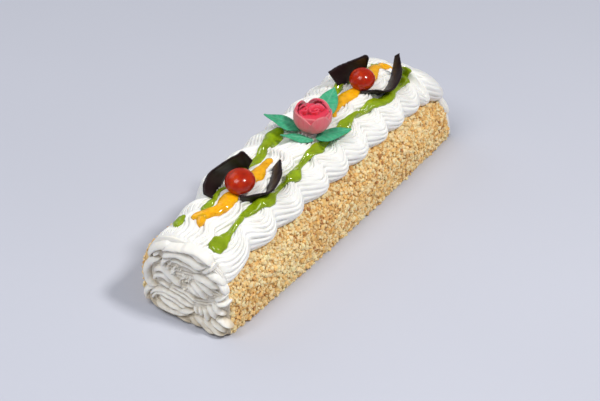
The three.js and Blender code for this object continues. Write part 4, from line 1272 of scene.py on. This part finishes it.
def petal_body(petal, radius, thickness, rng):
    """One cupped sugar petal, with how pale each point is."""
    azimuth, spread, rim, size, curl = petal
    u = np.linspace(-1, 1, 29)[:, None]
    v = np.linspace(0, 1, 17)[None]
    fall = 44 * np.abs(u) ** 2.5
    down = lerp(174.0, rim + fall, v**0.9)
    turn = azimuth + spread * u * (1 - 0.1 * v)
    cup = 1 - 0.05 * np.abs(u) ** 2.5 + curl * v**7
    ripple = 0.018 * np.sin(3.4 * u + rng.uniform(0, 6)) * v**2
    r = radius * size * (cup + ripple) * lerp(1.0, 0.8, ease(down, 95, 180))
    outer = on_ball(r, np.radians(down), np.radians(turn))
    thin = thickness * (1 - 0.55 * v**4) * (1 - 0.4 * np.abs(u) ** 6)
    inner = outer * (1 - thin / np.maximum(r, 0.5))[..., None]
    # rings run across the petal: outside one way, inside back
    rings = np.concatenate([outer, inner[::-1]], 0).transpose(1, 0, 2)
    bloom = np.clip((size - 0.72) * 3.2, 0.05, 0.95)
    outside = bloom * (0.7 + 0.3 * (1 - v)) + 0.25 * v**10 + 0 * u
    inside = 0.12 * bloom + 0.3 * v**10 + 0 * u
    return capped(rings + ROSE_AT, np.clip(np.concatenate([outside, inside[::-1]], 0), 0, 1).T)


def swirl_body(swirl, radius, thickness):
    """A petal rolled up on the core of the rose, with how pale each point is."""
    x, y, reach, start = swirl
    t = np.linspace(0, 1, 64)[:, None]
    v = np.linspace(0, 1, 7)[None]
    around = np.radians(start + 76 * reach * t)
    # the roll opens outwards, more so at its outer turns
    r = lerp(reach, 0.7, t**0.8) * lerp(0.72, 1.0, v**1.4) + 0.6 * (1 - t) * v**6
    core = BUD[-1][1] * radius + 1.2 * (x * x + y * y) / radius
    rise = core + lerp(-1.5, 2.6 + 0.5 * np.sin(1.3 * around), v)
    half = thickness * 0.6 * np.minimum(1, 12 * np.minimum(t, 1 - t) + 0.3)
    outer, inner = (on_ring(r + way * half, around, rise) for way in (1, -1))
    rings = np.concatenate([outer, inner[:, ::-1]], 1) + ROSE_AT + np.array([x, y, 0.0])
    pale = np.concatenate([0.05 + 0.35 * v**4 + 0 * t, 0.2 * v[:, ::-1] ** 4 + 0 * t], 1)
    return capped(rings, pale)


def core_body(radius):
    """The low core that the petals close round, none of it pale."""
    wide, tall = (spline(BUD, 5) * radius).T[:, :, None]
    turn = np.linspace(0, math.tau, 48, endpoint=False)[None]
    wide = wide * (1 + 0.015 * np.sin(5 * turn + 0.4 * tall))
    tall = tall + 0.6 * np.sin(2 * turn + 0.6) * ease(tall, 0, 0.4 * radius) * ease(wide, 0, 0.6 * radius)
    return capped(on_ring(wide, turn, tall) + ROSE_AT, 0 * wide)


class CAKE_OT_rose(CakePart, bpy.types.Operator):
    """Shape the sugar rose, petal by petal"""

    bl_idname = "cake.rose"
    bl_label = "Sugar rose"

    def execute(self, context):
        sizes, colours, rng = self.start(context, 6)
        finish = petal_finish("petal", colours.petal, colours.petal_pale)
        radius, thickness = sizes.rose_radius * 1000, sizes.petal_thickness * 1000
        bodies = [petal_body(petal, radius, thickness, rng) for petal in PETALS]
        bodies += [swirl_body(swirl, radius, thickness) for swirl in SWIRLS]
        bodies.append(core_body(radius))
        points, faces = joined([body[:2] for body in bodies])
        pale = {"paleness": np.concatenate([body[2] for body in bodies])}
        make_piece("rose_petals", points, faces, finish, ["rose"], "sugar_rose", values=pale)
        return {"FINISHED"}


def leaf_body(base, tip, half, arch, twist, thickness):
    """Thin wavy leaf with a toothed rim and raised veins, with how much of a vein each point is."""
    base, tip = np.array(base), np.array(tip)
    reach = np.linalg.norm(tip - base)
    ahead = (tip - base) / reach
    level = normalised(np.cross([0, 0, 1], ahead))
    up = np.cross(ahead, level)
    lean = math.radians(twist)
    across = level * math.cos(lean) + up * math.sin(lean)
    up = up * math.cos(lean) - level * math.sin(lean)
    t = np.linspace(0, 1, 76)[:, None]
    v = np.linspace(-1, 1, 31)[None]
    teeth = 0.06 * (1 - (t * 15) % 1) * np.sin(math.pi * t)
    wide = half * np.maximum(np.sin(math.pi * t**0.72) ** 0.8, 0.07) * (0.97 + teeth * (np.abs(v) > 0.93))
    arc = np.sin(math.pi * t)
    wave = 0.7 * np.sin(7 * t + 2.5 * v) - 0.9 * v * v
    # side veins run forward from the midrib
    phase = (t * 7.5 - np.abs(v) * 1.15) % 1
    side_vein = np.exp(-(((phase - 0.5) / 0.09) ** 2)) * (np.abs(v) < 0.9) * (arc > 0.12)
    vein = np.clip(np.exp(-((v * wide / 0.5) ** 2)) + 0.75 * side_vein, 0, 1)
    middle = base + ahead * (reach * t)[..., None] + across * (wide * v)[..., None]
    middle = middle + up * ((arch + wave) * arc)[..., None]
    half_thick = thickness / 2 * (1 - 0.6 * np.abs(v) ** 6)
    upper = middle + up * (half_thick + 0.22 * vein)[..., None]
    lower = middle - up * half_thick[..., None]
    rings = np.concatenate([upper, lower[:, ::-1]], 1)
    return capped(rings, np.concatenate([vein, 0.3 * vein[:, ::-1]], 1))


class CAKE_OT_leaves(CakePart, bpy.types.Operator):
    """Lay the leaves round the rose"""

    bl_idname = "cake.leaves"
    bl_label = "Leaves"

    def execute(self, context):
        finish = leaf_finish("leaf", context.scene.cake_colours.leaf)
        thickness = context.scene.cake_sizes.leaf_thickness * 1000
        for name, leaf in LEAVES.items():
            points, faces, vein = leaf_body(*leaf, thickness)
            make_piece(name + "_veined", points, faces, finish, [name], "sugar_leaf", values={"vein": vein})
        return {"FINISHED"}


def aimed(data, place, target):
    """A light or camera of the stage at a place, turned to the target."""
    item = bpy.data.objects.new(data.name, data)
    item.location = place
    item.rotation_euler = (Vector(target) - Vector(place)).to_track_quat("-Z", "Y").to_euler()
    bpy.context.scene.collection.objects.link(item)
    return item


class CAKE_OT_stage(CakePart, bpy.types.Operator):
    """Add the floor, the studio lights and the camera"""

    bl_idname = "cake.stage"
    bl_label = "Stage"

    def execute(self, context):
        scene = context.scene
        mesh = bpy.data.meshes.new("floor")
        size = 6.0
        corners = [(-size, -size, 0), (size, -size, 0), (size, size, 0), (-size, size, 0)]
        mesh.from_pydata(corners, [], [(0, 1, 2, 3)])
        mesh.materials.append(floor_finish("floor", scene.cake_colours.floor))
        floor = bpy.data.objects.new("floor", mesh)
        scene.collection.objects.link(floor)

        scene.view_settings.view_transform = "Standard"
        scene.world = bpy.data.worlds.new("studio")
        scene.world.use_nodes = True
        background = scene.world.node_tree.nodes["Background"]
        background.inputs["Color"].default_value = (0.86, 0.90, 1.0, 1)
        background.inputs["Strength"].default_value = 0.22

        # name, place, watts, size, colour
        lights = (
            ("key", (0.12, -1.15, 1.7), 23.5, 0.3, (1.0, 0.98, 0.95)),
            ("side", (-1.0, 0.1, 1.65), 17.0, 0.9, (0.98, 0.99, 1.0)),
            ("back", (0.2, 1.7, 1.5), 6.0, 1.4, (0.97, 0.98, 1.0)),
        )
        for name, place, watts, width, tone in lights:
            data = bpy.data.lights.new(name, "AREA")
            data.energy, data.size, data.color = watts, width, tone
            aimed(data, place, (0, 0, 0.04))

        azimuth, elevation, distance = math.radians(-56), math.radians(36.5), 1.4
        target = (np.array((-24.36, -11.84, 30.0)) + SHIFT) / 1000
        data = bpy.data.cameras.new("camera")
        data.sensor_width, data.lens = 36.0, 115.2
        back = on_ball(distance, math.pi / 2 - elevation, azimuth - math.pi / 2)
        scene.camera = aimed(data, target + back, target)
        return {"FINISHED"}


class CAKE_PT_panel(bpy.types.Panel):
    """Pieces, sizes and colours of the cake"""

    bl_idname = "CAKE_PT_panel"
    bl_label = "Swiss roll cake"
    bl_space_type = "VIEW_3D"
    bl_region_type = "UI"
    bl_category = "Cake"

    def draw(self, context):
        layout = self.layout
        for operator in OPERATORS:
            layout.operator(operator.bl_idname)
        for group in (context.scene.cake_sizes, context.scene.cake_colours):
            box = layout.box()
            for key in group.__annotations__:
                box.prop(group, key)


OPERATORS = (
    CAKE_OT_nut_coat,
    CAKE_OT_top_cream,
    CAKE_OT_end_cream,
    CAKE_OT_fruit_gel,
    CAKE_OT_cherries,
    CAKE_OT_chocolate,
    CAKE_OT_rose,
    CAKE_OT_leaves,
    CAKE_OT_stage,
)
CLASSES = (CakeSizes, CakeColours, *OPERATORS, CAKE_PT_panel)


def register():
    """Registers the classes and puts the sizes and colours on the scene."""
    for cls in CLASSES:
        bpy.utils.register_class(cls)
    bpy.types.Scene.cake_sizes = bpy.props.PointerProperty(type=CakeSizes)
    bpy.types.Scene.cake_colours = bpy.props.PointerProperty(type=CakeColours)


def unregister():
    """Takes them off again."""
    del bpy.types.Scene.cake_sizes
    del bpy.types.Scene.cake_colours
    for cls in reversed(CLASSES):
        bpy.utils.unregister_class(cls)


def main():
    """Builds the cake piece by piece."""
    register()
    bpy.ops.cake.nut_coat()
    bpy.ops.cake.top_cream()
    bpy.ops.cake.end_cream()
    bpy.ops.cake.fruit_gel()
    bpy.ops.cake.cherries()
    bpy.ops.cake.chocolate()
    bpy.ops.cake.rose()
    bpy.ops.cake.leaves()
    bpy.ops.cake.stage()


if __name__ == "__main__":
    main()
